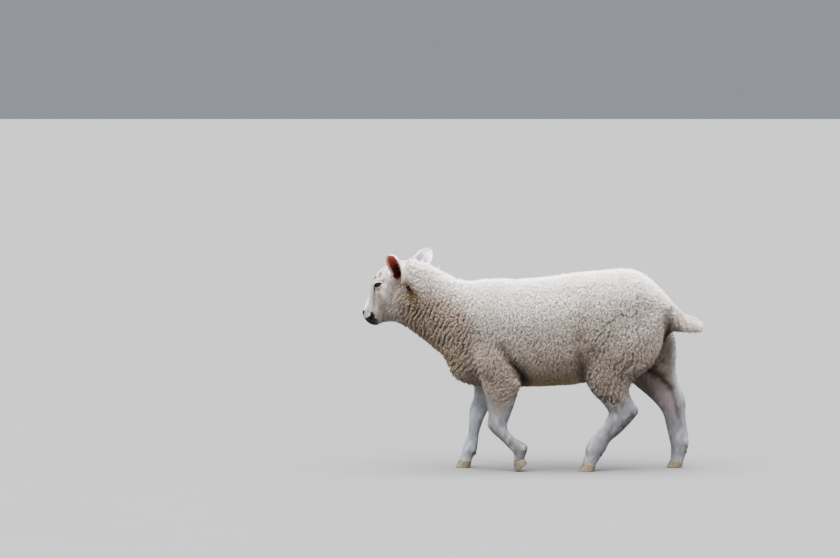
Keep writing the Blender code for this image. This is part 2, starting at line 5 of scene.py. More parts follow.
import bmesh
import bpy
import numpy as np
from mathutils import Matrix, Vector
from mathutils.bvhtree import BVHTree
from mathutils.kdtree import KDTree


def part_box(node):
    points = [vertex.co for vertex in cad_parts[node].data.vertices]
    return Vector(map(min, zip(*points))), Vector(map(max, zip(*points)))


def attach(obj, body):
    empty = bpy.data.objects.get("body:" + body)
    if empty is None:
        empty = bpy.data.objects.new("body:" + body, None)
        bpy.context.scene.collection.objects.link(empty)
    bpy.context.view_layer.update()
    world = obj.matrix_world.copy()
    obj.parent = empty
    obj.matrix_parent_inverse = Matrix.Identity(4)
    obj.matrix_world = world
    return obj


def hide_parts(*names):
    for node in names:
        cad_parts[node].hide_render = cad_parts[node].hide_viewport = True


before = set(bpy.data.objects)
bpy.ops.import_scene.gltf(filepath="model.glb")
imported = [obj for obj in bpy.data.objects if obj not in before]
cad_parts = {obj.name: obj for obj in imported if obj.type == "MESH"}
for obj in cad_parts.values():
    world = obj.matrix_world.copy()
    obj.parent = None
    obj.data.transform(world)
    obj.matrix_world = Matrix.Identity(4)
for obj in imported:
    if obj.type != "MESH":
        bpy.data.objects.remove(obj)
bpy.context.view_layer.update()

MM = 0.001
SHIFT = np.array([-1.227, 0.0, 0.0])  # millimetres, from the tables below to the frame
HEAD_TURN = math.radians(18)
PIVOT = (-320.0, 0.0)
EYE_R = 12.2
EYE_AT = (-376.5, 34.2, 462.8)
GAP = 0.3
TOE_FLAT = 2.0
BODY_VOXEL, HEAD_VOXEL = 4.4, 1.6

# ---------------------------------------------------------------- stations, millimetres
# (x, z of the upper or front point, x, z of the lower or rear point, y, half width, shift of the widest place, squareness)
TRUNK = (
    (-211, 318, -211, 264, 0, 30, 0, 2.0),
    (-201, 375, -200, 238, 0, 54, 0, 2.0),
    (-178, 435, -180, 221, 0, 73, 0, 2.1),
    (-142, 470, -140, 210, 0, 88, 0, 2.2),
    (-92, 475, -88, 208, 0, 99, -0.05, 2.25),
    (-32, 474, -32, 209, 0, 105, -0.06, 2.3),
    (38, 480, 38, 211, 0, 111, -0.06, 2.3),
    (108, 490, 105, 215, 0, 112, -0.02, 2.3),
    (178, 496, 178, 230, 0, 107, 0.05, 2.3),
    (228, 500, 235, 255, 0, 100, 0.10, 2.2),
    (268, 492, 280, 285, 0, 90, 0.10, 2.15),
    (308, 461, 315, 312, 0, 72, 0.0, 2.1),
    (338, 430, 338, 335, 0, 46, 0, 2.0),
    (355, 409, 352, 352, 0, 24, 0, 2.0),
)
NECK = (
    (-345, 515, -368, 382, 5, 36, 0, 2.0),
    (-325, 526, -342, 369, 2, 45, 0, 2.0),
    (-300, 524, -318, 356, 1, 51, 0, 2.0),
    (-265, 513, -288, 336, 0, 56, -0.02, 2.0),
    (-230, 495, -258, 312, 0, 63, -0.04, 2.0),
    (-192, 475, -225, 286, 0, 76, -0.05, 2.05),
    (-148, 468, -182, 240, 0, 86, -0.05, 2.1),
    (-108, 462, -138, 225, 0, 88, 0, 2.1),
)
HEAD = (
    (-430.5, 391, -425, 375, 0, 10, 0, 2.2),
    (-431, 398, -415, 365, 0, 16.5, 0.05, 2.3),
    (-427.5, 406, -402, 359.5, 0, 20.5, 0.05, 2.3),
    (-421.5, 419, -390, 361.5, 0, 22.5, 0.05, 2.3),
    (-415.5, 433, -377, 367, 0, 24.5, 0.05, 2.2),
    (-410.5, 449, -362, 369, 0, 31, 0.12, 2.15),
    (-406, 465, -348, 369, 0, 39, 0.22, 2.1),
    (-401, 480, -334, 371, 0, 44, 0.26, 2.1),
    (-390, 495, -321, 378, 0, 46, 0.24, 2.1),
    (-369, 511, -310, 390, 0, 45, 0.2, 2.1),
    (-345, 523, -301, 408, 0, 41, 0.1, 2.0),
    (-322, 523, -294, 430, 0, 33, 0, 2.0),
)
FORELEG_LEFT = (
    (-162, 328, -45, 303, -66, 30, 0, 2.0),
    (-148, 273, -48, 263, -68, 33, 0, 2.0),
    (-130, 221, -30, 224, -66, 30, 0, 2.0),
    (-121, 188, -41, 188, -64, 27, 0, 2.0),
    (-115, 158, -48, 163, -62, 23, 0, 2.0),
    (-113, 138, -60, 131, -60, 20, 0, 2.0),
    (-115, 116, -65, 116, -58, 20.5, 0, 2.1),
    (-104, 98, -61, 101, -58, 18, 0, 2.0),
    (-85, 81, -49, 88, -57, 15, 0, 2.0),
    (-66, 62, -32, 77, -57, 14.5, 0, 2.0),
    (-51, 47, -15, 65, -57, 17.5, 0, 2.1),
    (-49, 37, -15, 51, -57, 16, 0, 2.0),
    (-49, 27, -19, 40, -57, 16.5, 0, 2.0),
    (-48, 17, -22, 30, -57, 14, 0, 2.0),
)
FORELEG_RIGHT = (
    (-178, 322, -62, 297, 66, 30, 0, 2.0),
    (-162, 267, -58, 257, 68, 33, 0, 2.0),
    (-149, 212, -72, 212, 65, 29, 0, 2.0),
    (-148, 184, -82, 184, 63, 25, 0, 2.0),
    (-153, 164, -96, 164, 62, 22, 0, 2.0),
    (-158, 147, -110, 144, 60, 20, 0, 2.0),
    (-160, 125, -120, 125, 58, 19.5, 0, 2.1),
    (-160, 107, -128, 104, 57, 17, 0, 2.0),
    (-162, 87, -133, 85, 56, 14.5, 0, 2.0),
    (-169, 68, -136, 65, 55, 14.5, 0, 2.0),
    (-175, 48, -138, 45, 54, 17.5, 0, 2.1),
    (-180, 34, -147, 27, 54, 16, 0, 2.0),
    (-184, 22, -152, 14, 54, 17, 0, 2.0),
    (-185, 12, -154, 4, 54, 15, 0, 2.0),
)
HINDLEG_LEFT = (
    (128, 383, 318, 398, -62, 34, 0, 2.0),
    (118, 338, 325, 346, -66, 38, 0, 2.0),
    (112, 296, 317, 303, -67, 39, 0, 2.0),
    (117, 258, 293, 263, -66, 36, 0, 2.0),
    (130, 223, 252, 230, -63, 30, 0, 2.0),
    (148, 193, 240, 203, -61, 25, 0, 2.0),
    (170, 172, 249, 178, -60, 21.5, 0, 2.0),
    (186, 148, 263, 153, -58, 20, 0, 2.1),
    (179, 130, 250, 130, -57, 17.5, 0, 2.0),
    (160, 102, 219, 97, -56, 15.5, 0, 2.0),
    (142, 81, 193, 75, -55, 16, 0, 2.0),
    (131, 61, 181, 53, -54, 18, 0, 2.1),
    (128, 42, 168, 34, -54, 16.5, 0, 2.0),
    (123, 24, 157, 16, -54, 17.5, 0, 2.0),
    (120, 13, 154, 5, -54, 15, 0, 2.0),
)
HINDLEG_RIGHT = (
    (142, 372, 332, 392, 62, 34, 0, 2.0),
    (168, 317, 358, 334, 66, 36, 0, 2.0),
    (198, 267, 362, 284, 66, 36, 0, 2.0),
    (238, 224, 360, 252, 64, 32, 0, 2.0),
    (272, 194, 365, 224, 61, 26.5, 0, 2.0),
    (301, 169, 378, 193, 59, 22.5, 0, 2.0),
    (320, 148, 386, 165, 57, 20, 0, 2.1),
    (330, 129, 386, 134, 56, 17.5, 0, 2.0),
    (336, 104, 389, 107, 55, 15.5, 0, 2.0),
    (342, 79, 393, 80, 54, 16, 0, 2.0),
    (347, 58, 394, 59, 53, 18, 0, 2.1),
    (348, 39, 387, 34, 53, 16.5, 0, 2.0),
    (347, 22, 381, 14, 53, 17.5, 0, 2.0),
    (345, 11, 379, 3, 53, 15, 0, 2.0),
)
TAIL = (
    (328, 435, 322, 355, 0, 28, 0, 2.0),
    (352, 412, 345, 348, 0, 25, 0, 2.0),
    (375, 392, 368, 344, 0, 21, 0, 2.0),
    (395, 384, 390, 342, 0, 18, 0, 2.0),
    (415, 377, 411, 342, 0, 15, 0, 2.0),
    (427, 368, 426, 346, 0, 10, 0, 2.0),
)
# (x1, z1, x2, z2, y from, y to, radius, height)
BODY_SWELLS = (
    (-150, 390, -120, 300, -200, 200, 34, 4.0),
    (-84, 314, -26, 230, -200, -30, 12, -6.0),
    (-90, 318, -62, 230, 30, 200, 12, -5.0),
    (113, 326, 117, 240, -200, -30, 14, -6.0),
    (150, 318, 190, 250, 30, 200, 15, -5.0),
    (200, 350, 240, 310, -200, -30, 48, 4.0),
    (240, 350, 270, 310, 30, 200, 48, 4.0),
    (-215, 250, -190, 300, -60, 60, 30, 2.0),
    (345, 400, 330, 345, -60, 60, 9, -3.0),
)
HEAD_SWELLS = (
    (-349, 432, -345, 405, -200, 200, 20, 2.2),
    (-388, 477, -366, 482, 25, 200, 8, 1.8),
    (-388, 477, -366, 482, -200, -25, 8, 1.8),
    (-392, 452, -384, 446, 18, 200, 9, -1.6),
    (-392, 452, -384, 446, -200, -18, 9, -1.6),
    (-424, 392, -421, 398, 8, 200, 6, 1.0),
    (-424, 392, -421, 398, -200, -8, 6, 1.0),
    (-414, 376, -398, 382, 8, 200, 7, 1.0),
    (-414, 376, -398, 382, -200, -8, 7, 1.0),
)
EASED = (
    (-250, 330, 60),
    (-185, 430, 60),
    (-335, 380, 30),
    (-325, 500, 26),
    (-100, 225, 42),
    (130, 260, 50),
    (230, 260, 60),
    (300, 330, 60),
    (200, 400, 80),
    (-110, 320, 70),
)
# root, long axis, way the opening faces, bow of the middle, length, half width
EARS = (
    ((-335.5, -36.0, 479.5), (-0.11, -0.72, 0.685), (-0.62, -0.42, -0.60), (-7.5, 0.0, 0.0), 92.0, 24.5),
    ((-309.5, 40.0, 485.0), (0.60, 0.33, 0.72), (0.05, -0.86, 0.42), (0.0, 0.0, 0.0), 87.0, 20.0),
)
# foot, toe x, heel x, coronet front (x, z), coronet back (x, z), y, pitch
FEET = (
    ("foreleg_left", -46.0, -8.0, (-35.0, 22.5), (-5.5, 15.0), -57.0, 36.0),
    ("foreleg_right", -194.5, -156.0, (-183.0, 21.5), (-152.5, 13.8), 54.0, 0.0),
    ("hindleg_left", 112.0, 152.0, (124.0, 23.5), (156.0, 15.5), -54.0, 0.0),
    ("hindleg_right", 336.0, 376.0, (348.0, 21.5), (380.0, 13.8), 53.0, 0.0),
)
CLAW_WIDTH, CLAW_SPREAD = 16.8, 1.2


# ---------------------------------------------------------------- shapes
def step(a, b, x):
    """0 below a, 1 above b, smooth between; a may be above b."""
    t = np.clip((x - a) / (b - a), 0, 1)
    return t * t * (3 - 2 * t)


def along(rows, steps):
    rows = np.array(rows, float)
    padded = np.vstack([2 * rows[0] - rows[1], rows, 2 * rows[-1] - rows[-2]])
    out = []
    for i in range(len(rows) - 1):
        p0, p1, p2, p3 = padded[i : i + 4]
        for s in range(steps):
            t = s / steps
            out.append(
                0.5
                * (
                    2 * p1
                    + (p2 - p0) * t
                    + (2 * p0 - 5 * p1 + 4 * p2 - p3) * t * t
                    + (3 * p1 - p0 - 3 * p2 + p3) * t**3
                )
            )
    out.append(rows[-1])
    return np.array(out)


def loft(rows, around=32, steps=5):
    rings = along(rows, steps)
    angle = np.arange(around) * 2 * math.pi / around
    points = []
    for ax, az, bx, bz, y, half, widest, square in rings:
        c = np.sign(np.cos(angle)) * np.abs(np.cos(angle)) ** (2 / square)
        s = np.sign(np.sin(angle)) * np.abs(np.sin(angle)) ** (2 / square)
        c = c + widest * (1 - c * c)
        x = (ax + bx) / 2 + (ax - bx) / 2 * c
        z = (az + bz) / 2 + (az - bz) / 2 * c
        points.append(np.stack([x, y + half * s, z], 1))
    count = len(points)
    points = np.concatenate(points)
    i = np.arange(around)
    j = (i + 1) % around
    faces = []
    for r in range(count - 1):
        faces += np.stack([r * around + i, r * around + j, (r + 1) * around + j, (r + 1) * around + i], 1).tolist()
    ends = (
        (points[:around], points[around : 2 * around], 0),
        (points[-around:], points[-2 * around : -around], (count - 1) * around),
    )
    for end, beyond, base in ends:
        middle = end.mean(0)
        points = np.vstack([points, middle + (middle - beyond.mean(0)) * 0.6])
        tip = len(points) - 1
        for a in range(around):
            b = (a + 1) % around
            faces.append([base + b, base + a, tip] if base == 0 else [base + a, base + b, tip])
    return points, faces


def turned(points):
    cos, sin = math.cos(HEAD_TURN), math.sin(HEAD_TURN)
    out = np.array(points, float)
    x, y = out[:, 0] - PIVOT[0], out[:, 1] - PIVOT[1]
    out[:, 0] = PIVOT[0] + x * cos + y * sin
    out[:, 1] = PIVOT[1] - x * sin + y * cos
    return out


def unturned(points):
    cos, sin = math.cos(HEAD_TURN), math.sin(HEAD_TURN)
    out = np.array(points, float)
    x, y = out[:, 0] - PIVOT[0], out[:, 1] - PIVOT[1]
    out[:, 0] = PIVOT[0] + x * cos - y * sin
    out[:, 1] = PIVOT[1] + x * sin + y * cos
    return out


def turned_way(ways):
    return turned(np.array(ways, float) + [PIVOT[0], PIVOT[1], 0]) - [PIVOT[0], PIVOT[1], 0]


def unturned_way(ways):
    return unturned(np.array(ways, float) + [PIVOT[0], PIVOT[1], 0]) - [PIVOT[0], PIVOT[1], 0]


def mesh_of(points, faces, name="shape"):
    mesh = bpy.data.meshes.new(name)
    mesh.from_pydata(np.asarray(points, float).tolist(), [], faces)
    mesh.update()
    build = bmesh.new()
    build.from_mesh(mesh)
    bmesh.ops.recalc_face_normals(build, faces=build.faces)
    build.to_mesh(mesh)
    build.free()
    return mesh


def joined(parts):
    points, faces, base = [], [], 0
    for p, f in parts:
        points.append(p)
        faces += [[i + base for i in face] for face in f]
        base += len(p)
    return np.concatenate(points), faces


def applied(mesh, kind, **settings):
    thing = bpy.data.objects.new("work", mesh)
    bpy.context.scene.collection.objects.link(thing)
    modifier = thing.modifiers.new("step", kind)
    for key, value in settings.items():
        setattr(modifier, key, value)
    graph = bpy.context.evaluated_depsgraph_get()
    done = bpy.data.meshes.new_from_object(thing.evaluated_get(graph))
    bpy.data.objects.remove(thing, do_unlink=True)
    return done


def coordinates(mesh):
    flat = np.empty(len(mesh.vertices) * 3)
    mesh.vertices.foreach_get("co", flat)
    return flat.reshape(-1, 3)


def set_coordinates(mesh, points):
    mesh.vertices.foreach_set("co", np.ascontiguousarray(points, float).ravel())
    mesh.update()


def normals(mesh):
    flat = np.empty(len(mesh.vertices) * 3)
    mesh.vertices.foreach_get("normal", flat)
    return flat.reshape(-1, 3)


def edges_of(mesh):
    flat = np.empty(len(mesh.edges) * 2, np.int32)
    mesh.edges.foreach_get("vertices", flat)
    return flat.reshape(-1, 2)


def smoothed(points, edges, passes, weight, shrink=True):
    count = np.bincount(edges.ravel(), minlength=len(points))[:, None]
    for i in range(passes):
        total = np.zeros_like(points)
        for a in range(3):
            total[:, a] = np.bincount(edges[:, 0], points[edges[:, 1], a], len(points)) + np.bincount(
                edges[:, 1], points[edges[:, 0], a], len(points)
            )
        push = 0.5 if shrink or i % 2 == 0 else -0.52
        points = points + (total / count - points) * weight * push
    return points


def line_distance(p, x1, z1, x2, z2):
    ax, az = p[:, 0] - x1, p[:, 2] - z1
    dx, dz = x2 - x1, z2 - z1
    t = np.clip((ax * dx + az * dz) / max(dx * dx + dz * dz, 1e-9), 0, 1)
    return np.sqrt((ax - t * dx) ** 2 + (az - t * dz) ** 2)


def line_field(p, x1, z1, x2, z2, y1, y2, radius):
    side = 1 / (1 + np.exp(-(p[:, 1] - y1) / 3)) * 1 / (1 + np.exp((p[:, 1] - y2) / 3))
    return np.exp(-(line_distance(p, x1, z1, x2, z2) ** 2) / (radius * radius)) * side


def path_distance(p, path):
    """Distance to a path of points in space."""
    best = np.full(len(p), 1e9)
    for a, b in zip(path[:-1], path[1:]):
        a, b = np.array(a, float), np.array(b, float)
        d = b - a
        t = np.clip(((p - a) @ d) / max(d @ d, 1e-9), 0, 1)
        best = np.minimum(best, np.linalg.norm(p - a - t[:, None] * d, axis=1))
    return best


def swell(points, normal, rows):
    out = np.array(points)
    for x1, z1, x2, z2, y1, y2, radius, height in rows:
        out += normal * (line_field(points, x1, z1, x2, z2, y1, y2, radius) * height)[:, None]
    return out


def waves(p, scale, seed):
    """Smooth noise between about -1 and 1, made of sine waves, at a wavelength of about scale millimetres."""
    rng = np.random.default_rng(seed)
    total = np.zeros(len(p))
    for _ in range(9):
        way = rng.normal(size=3)
        way *= rng.uniform(0.6, 1.5) / np.linalg.norm(way)
        total += np.sin(p @ way * (2 * math.pi / scale) + rng.uniform(0, 6.28))
    return total / 4.2


# ---------------------------------------------------------------- the coat's depth, millimetres
def where_face(p):
    """1 on the short-haired face, 0 on the neck."""
    h = unturned(p)
    edge = np.minimum(-372 + (h[:, 2] - 392) * 0.50, -312) + 14 * step(470, 500, h[:, 2]) + waves(p, 30, 2) * 4
    bare = (1 - step(-22, 18, h[:, 0] - edge)) * (1 - step(-285, -265, p[:, 0]))
    # wool gathers again round the roots of the ears
    for spot in ((-326, -38, 470), (-314, -42, 482), (-300, 44, 490)):
        bare = bare * (1 - np.exp(-((np.linalg.norm(p - np.array(spot), axis=1) / 17) ** 2)))
    return bare


def where_leg(p):
    """1 on the short-haired lower legs, 0 above."""
    near, fore = p[:, 1] < 0, p[:, 0] < 60
    x, z = p[:, 0], p[:, 2]
    out = np.where(
        near,
        np.where(
            fore,
            1 - step(128, 198, z - 0.9 * np.minimum(np.abs(x + 82), 42) + waves(p, 16, 61) * 5),
            1 - step(140, 192, z - 0.7 * np.clip(x - 205, 0, 60) + waves(p, 16, 62) * 5),
        ),
        np.where(fore, 1 - step(180, 226, z), 1 - step(188, 240, z + 1.3 * np.clip(x - 350, 0, 40))),
    )
    return np.where(z < 250, out, 0.0)


def tone_wool(p):
    """As the bare parts, for colour: 1 in the fleece, 0 in the short hair, with a much wider change."""
    h = unturned(p)
    edge = np.minimum(-370 + (h[:, 2] - 392) * 0.50, -310) + 14 * step(470, 500, h[:, 2]) + waves(p, 34, 1) * 8
    face = (1 - step(-30, 42, h[:, 0] - edge)) * (p[:, 2] > 300)
    near, fore, z = p[:, 1] < 0, p[:, 0] < 60, p[:, 2] + waves(p, 34, 7) * 9
    x = p[:, 0]
    leg = np.where(
        near,
        np.where(
            fore,
            1 - step(106, 178, z - 0.9 * np.minimum(np.abs(x + 82), 42)),
            1 - step(140, 214, z - 0.7 * np.clip(x - 205, 0, 60)),
        ),
        np.where(fore, 1 - step(172, 244, z), 1 - step(176, 262, z + 1.0 * np.clip(x - 350, 0, 40))),
    )
    return 1 - np.maximum(face, np.where(p[:, 2] < 300, leg, 0.0))


def coat_depth(p):
    """Depth of the coat from its tips to the skin at a point of the outline."""
    h = unturned(p)
    depth = np.full(len(p), 9.0)
    depth *= 1 - 0.45 * step(345, 372, p[:, 0])
    depth *= 1 - 0.25 * (1 - step(185, 245, p[:, 2]))
    depth *= 0.62 + 0.38 * step(-345, -285, h[:, 0])
    face, leg = where_face(p), where_leg(p)
    bare = np.maximum(face, leg)
    return depth * (1 - bare) + 1.6 * bare


# ---------------------------------------------------------------- ears
def ear_points(root, axis, opening, bow, length, half, thick, start, rows=44, columns=29):
    """A leaf-shaped shell rolled at its root; the inner face lies start outside of the tables' inner face."""
    axis = np.array(axis, float) / np.linalg.norm(axis)
    opening = np.array(opening, float)
    opening -= axis * (opening @ axis)
    opening /= np.linalg.norm(opening)
    side = np.cross(axis, opening)
    root, bow = np.array(root), np.array(bow)
    inner, outer = [], []
    for r in range(rows):
        u = 1 - (1 - r / (rows - 1)) ** 1.35
        width = half * (0.38 + 0.62 * math.sin(min(1.0, u / 0.62) * math.pi / 2))
        width *= max(0.0, 1 - max(0.0, (u - 0.60) / 0.40) ** 2.4) ** 0.55
        width = max(width - 0.6, half * 0.10)
        roll = math.radians(118 - 62 * min(1.0, u / 0.75))
        radius = width / math.sin(min(roll, math.pi / 2))
        bend = 0.10 * length * (u - 0.25) ** 2
        for c in range(columns):
            v = math.sin((c / (columns - 1) * 2 - 1) * math.pi / 2)
            a = v * roll
            here = (
                root
                + axis * ((length - 0.8) * (u - 0.12) / 0.88)
                + side * (radius * math.sin(a))
                + opening * (-radius * (math.cos(a) - math.cos(roll)) * 0.85 + bend)
                + bow * (4 * u * (1 - u))
            )
            outward = side * math.sin(a) - opening * math.cos(a)
            outward /= np.linalg.norm(outward)
            edge = math.sqrt(max(0.0, 1 - abs(v) ** 7)) * (1 - 0.3 * u) * math.sqrt(max(0.0, 1 - u**14))
            ripple = 0.35 * math.sin(u * 17 + v * 3) * (1 - abs(v)) * (1 - u)
            inner.append(here + outward * (start + thick * 0.5 * (1 - edge) + ripple))
            outer.append(here + outward * (start + thick * 0.5 * (1 + edge)))
    points = np.array(inner + outer)
    count, faces = rows * columns, []
    for r in range(rows - 1):
        for c in range(columns - 1):
            i = r * columns + c
            faces.append([i, i + 1, i + columns + 1, i + columns])
            faces.append([count + i, count + i + columns, count + i + columns + 1, count + i + 1])
    border = list(range(columns))
    border += [r * columns + columns - 1 for r in range(1, rows)]
    border += [(rows - 1) * columns + c for c in range(columns - 2, -1, -1)]
    border += [r * columns for r in range(rows - 2, 0, -1)]
    for i, a in enumerate(border):
        b = border[(i + 1) % len(border)]
        faces.append([a, b, count + b, count + a])
    return points, faces


def ear_place(p, ear):
    """(u along the ear 0..1, distance across, opening-side distance) of points near an ear."""
    root, axis, opening, bow, length, half = ear
    axis = np.array(axis, float) / np.linalg.norm(axis)
    opening = np.array(opening, float)
    opening -= axis * (opening @ axis)
    opening /= np.linalg.norm(opening)
    side = np.cross(axis, opening)
    d = p - np.array(root)
    u = (d @ axis) / length * 0.88 + 0.12
    d = d - np.array(bow) * (4 * np.clip(u, 0, 1) * (1 - np.clip(u, 0, 1)))[:, None]
    return u, d @ side, d @ opening


def in_hollow(p, ear, more=0.0):
    """True for points inside the trough of an ear, more millimetres beyond its walls."""
    u, across, up = ear_place(p, ear)
    s = np.clip(u, 0, 1)
    width = ear[5] * (0.38 + 0.62 * np.sin(np.minimum(1.0, s / 0.62) * math.pi / 2))
    roll = np.radians(118 - 62 * np.minimum(1.0, s / 0.75))
    radius = width / np.sin(np.minimum(roll, math.pi / 2))
    bend = 0.10 * ear[4] * (s - 0.25) ** 2
    level = -radius * (np.sqrt(1 - np.clip(across / radius, -1, 1) ** 2) - np.cos(roll)) * 0.85 + bend
    return (u > -0.06) & (u < 0.97) & (np.abs(across) < width + more) & (up > level - 0.6 - more) & (up < bend + 1.5 + more)


# ---------------------------------------------------------------- eyes, nostrils and mouth, local to the head
EYE_AXIS = np.array([-0.34, 0.92, 0.16]) / np.linalg.norm([-0.34, 0.92, 0.16])
EYE_ALONG = np.array([-0.93, 0.0, -0.36])
EYE_ALONG = EYE_ALONG - EYE_AXIS * (EYE_ALONG @ EYE_AXIS)
EYE_ALONG = EYE_ALONG / np.linalg.norm(EYE_ALONG)
EYE_UP = np.cross(EYE_AXIS, EYE_ALONG)
if EYE_UP[2] < 0:
    EYE_UP = -EYE_UP


def eye_place(h):
    """For head points: (along, up, out) from the eyeball's middle, and distance outside the eye's opening."""
    q = np.array(h)
    q[:, 1] = np.abs(q[:, 1])
    d = q - np.array(EYE_AT)
    a, u, w = d @ EYE_ALONG, d @ EYE_UP, d @ EYE_AXIS
    u = u + 1.3
    s = np.clip((a + 2.7) / 10.2, -1, 1)
    top, low = 3.3 * (1 - np.abs(s) ** 3.2) + 0.2 * s * (1 - s * s), -3.9 * (1 - np.abs(s) ** 2.6)
    f = np.where(u > 0, u - top, low - u) * 0.93
    f = np.where(np.abs(a + 2.7) > 10.2, np.hypot(np.abs(a + 2.7) - 10.2, u), f)
    return a, u, w, f


def nostril_path(side):
    return [(-431.0, side * 4.5, 379.5), (-430.5, side * 9.0, 380.5), (-429.0, side * 12.5, 384.5), (-426.5, side * 14.8, 389.5), (-424.0, side * 15.6, 394.0)]


def mouth_path(side):
    return [(-428.5, 0, 377.5), (-425.5, side * 9.0, 376.5), (-415.0, side * 17.0, 376.0), (-405.0, side * 20.0, 379.5), (-398.0, side * 21.5, 384.5)]


# ---------------------------------------------------------------- the skin
def seam_plane():
    """A point and a normal of the plane, inside the wool of the neck, where the finer head meets the body."""
    low, high = np.array([-327.5 + 16, 0, 355.0]), np.array([-297.5 + 16, 0, 537.5])
    way = (high - low) / np.linalg.norm(high - low)
    normal = turned_way([[way[2], 0, -way[0]]])[0]
    return (low + high) / 2, normal


def open_cut(mesh, point, normal, keep_positive):
    build = bmesh.new()
    build.from_mesh(mesh)
    bmesh.ops.bisect_plane(
        build,
        geom=build.verts[:] + build.edges[:] + build.faces[:],
        dist=0.02,
        plane_co=Vector(point),
        plane_no=Vector(normal),
        clear_inner=keep_positive,
        clear_outer=not keep_positive,
    )
    # only the largest piece stays
    build.verts.ensure_lookup_table()
    build.verts.index_update()
    seen, best = set(), []
    for start in build.verts:
        if start.index in seen:
            continue
        group, stack = [], [start]
        seen.add(start.index)
        while stack:
            vert = stack.pop()
            group.append(vert)
            for edge in vert.link_edges:
                other = edge.other_vert(vert)
                if other.index not in seen:
                    seen.add(other.index)
                    stack.append(other)
        if len(group) > len(best):
            best = group
    keep = set(best)
    bmesh.ops.delete(build, geom=[v for v in build.verts if v not in keep], context="VERTS")
    done = bpy.data.meshes.new("half")
    build.to_mesh(done)
    build.free()
    return done


def sewn(fine, coarse, point, normal):
    """The two open meshes joined along their rims by one strip of triangles."""
    base = len(fine.vertices)
    points = np.vstack([coordinates(fine), coordinates(coarse)])
    faces = [list(p.vertices) for p in fine.polygons] + [[i + base for i in p.vertices] for p in coarse.polygons]
    u = np.cross(normal, [0, 0, 1.0])
    u /= np.linalg.norm(u)
    v = np.cross(normal, u)
    centre = np.array(point)
    rims = []
    for mesh, offset in ((fine, 0), (coarse, base)):
        build = bmesh.new()
        build.from_mesh(mesh)
        build.verts.ensure_lookup_table()
        start = next(e for e in build.edges if e.is_boundary)
        loop, vert, edge = [start.verts[0].index], start.verts[1], start
        while vert.index != loop[0]:
            loop.append(vert.index)
            edge = next(e for e in vert.link_edges if e.is_boundary and e != edge)
            vert = edge.other_vert(vert)
        build.free()
        ring = np.array(loop) + offset
        d = points[ring] - centre
        angle = np.arctan2(d @ v, d @ u)
        turn = np.unwrap(angle)
        if turn[-1] < turn[0]:
            ring, angle = ring[::-1], angle[::-1]
        first = int(np.argmin(angle))
        rims.append((np.roll(ring, -first), np.unwrap(np.roll(angle, -first))))
    (ra, aa), (rb, ab) = rims
    i = j = 0
    na, nb = len(ra), len(rb)
    while i < na or j < nb:
        next_a = aa[(i + 1) % na] + (2 * math.pi if i + 1 >= na else 0) if i < na else 1e9
        next_b = ab[(j + 1) % nb] + (2 * math.pi if j + 1 >= nb else 0) if j < nb else 1e9
        if next_a <= next_b:
            faces.append([int(ra[i % na]), int(ra[(i + 1) % na]), int(rb[j % nb])])
            i += 1
        else:
            faces.append([int(ra[i % na]), int(rb[(j + 1) % nb]), int(rb[j % nb])])
            j += 1
    return mesh_of(points, faces, "sewn")


def shaped(parts, voxel, head_only):
    """Remeshed, eased and swollen as the solids are, then brought in by the coat's depth."""
    mesh = applied(mesh_of(*joined(parts)), "REMESH", mode="VOXEL", voxel_size=voxel, adaptivity=0.0)
    points, edges = coordinates(mesh), edges_of(mesh)
    more = (3.6 / voxel) ** 2
    eased = np.zeros(len(points))
    for x, z, radius in EASED:
        eased = np.maximum(eased, line_field(points, x, z, x, z, -200, 200, radius))
    points = smoothed(points, edges, 2 * round(3 * more), np.ones((len(points), 1)), shrink=False)
    points = smoothed(points, edges, round(36 * more), (eased**0.7)[:, None])
    set_coordinates(mesh, points)
    points = swell(points, normals(mesh), BODY_SWELLS)
    set_coordinates(mesh, points)
    local = unturned(points)
    here = 1 / (1 + np.exp((local[:, 0] + 318) / 6))
    moved = swell(local, unturned_way(normals(mesh)), HEAD_SWELLS)
    local += (moved - local) * here[:, None]
    points = turned(local)
    set_coordinates(mesh, points)
    depth = coat_depth(points)
    depth = smoothed(np.repeat(depth[:, None], 3, 1), edges, round(4 * more), 1.0)[:, :1]
    way = normals(mesh).copy()
    way = smoothed(way, edges, round(3 * more), 1.0)
    way /= np.linalg.norm(way, axis=1)[:, None]
    points = points - way * depth
    points = smoothed(points, edges, 2 * round(2 * more), 0.6, shrink=False)
    set_coordinates(mesh, points)
    return mesh


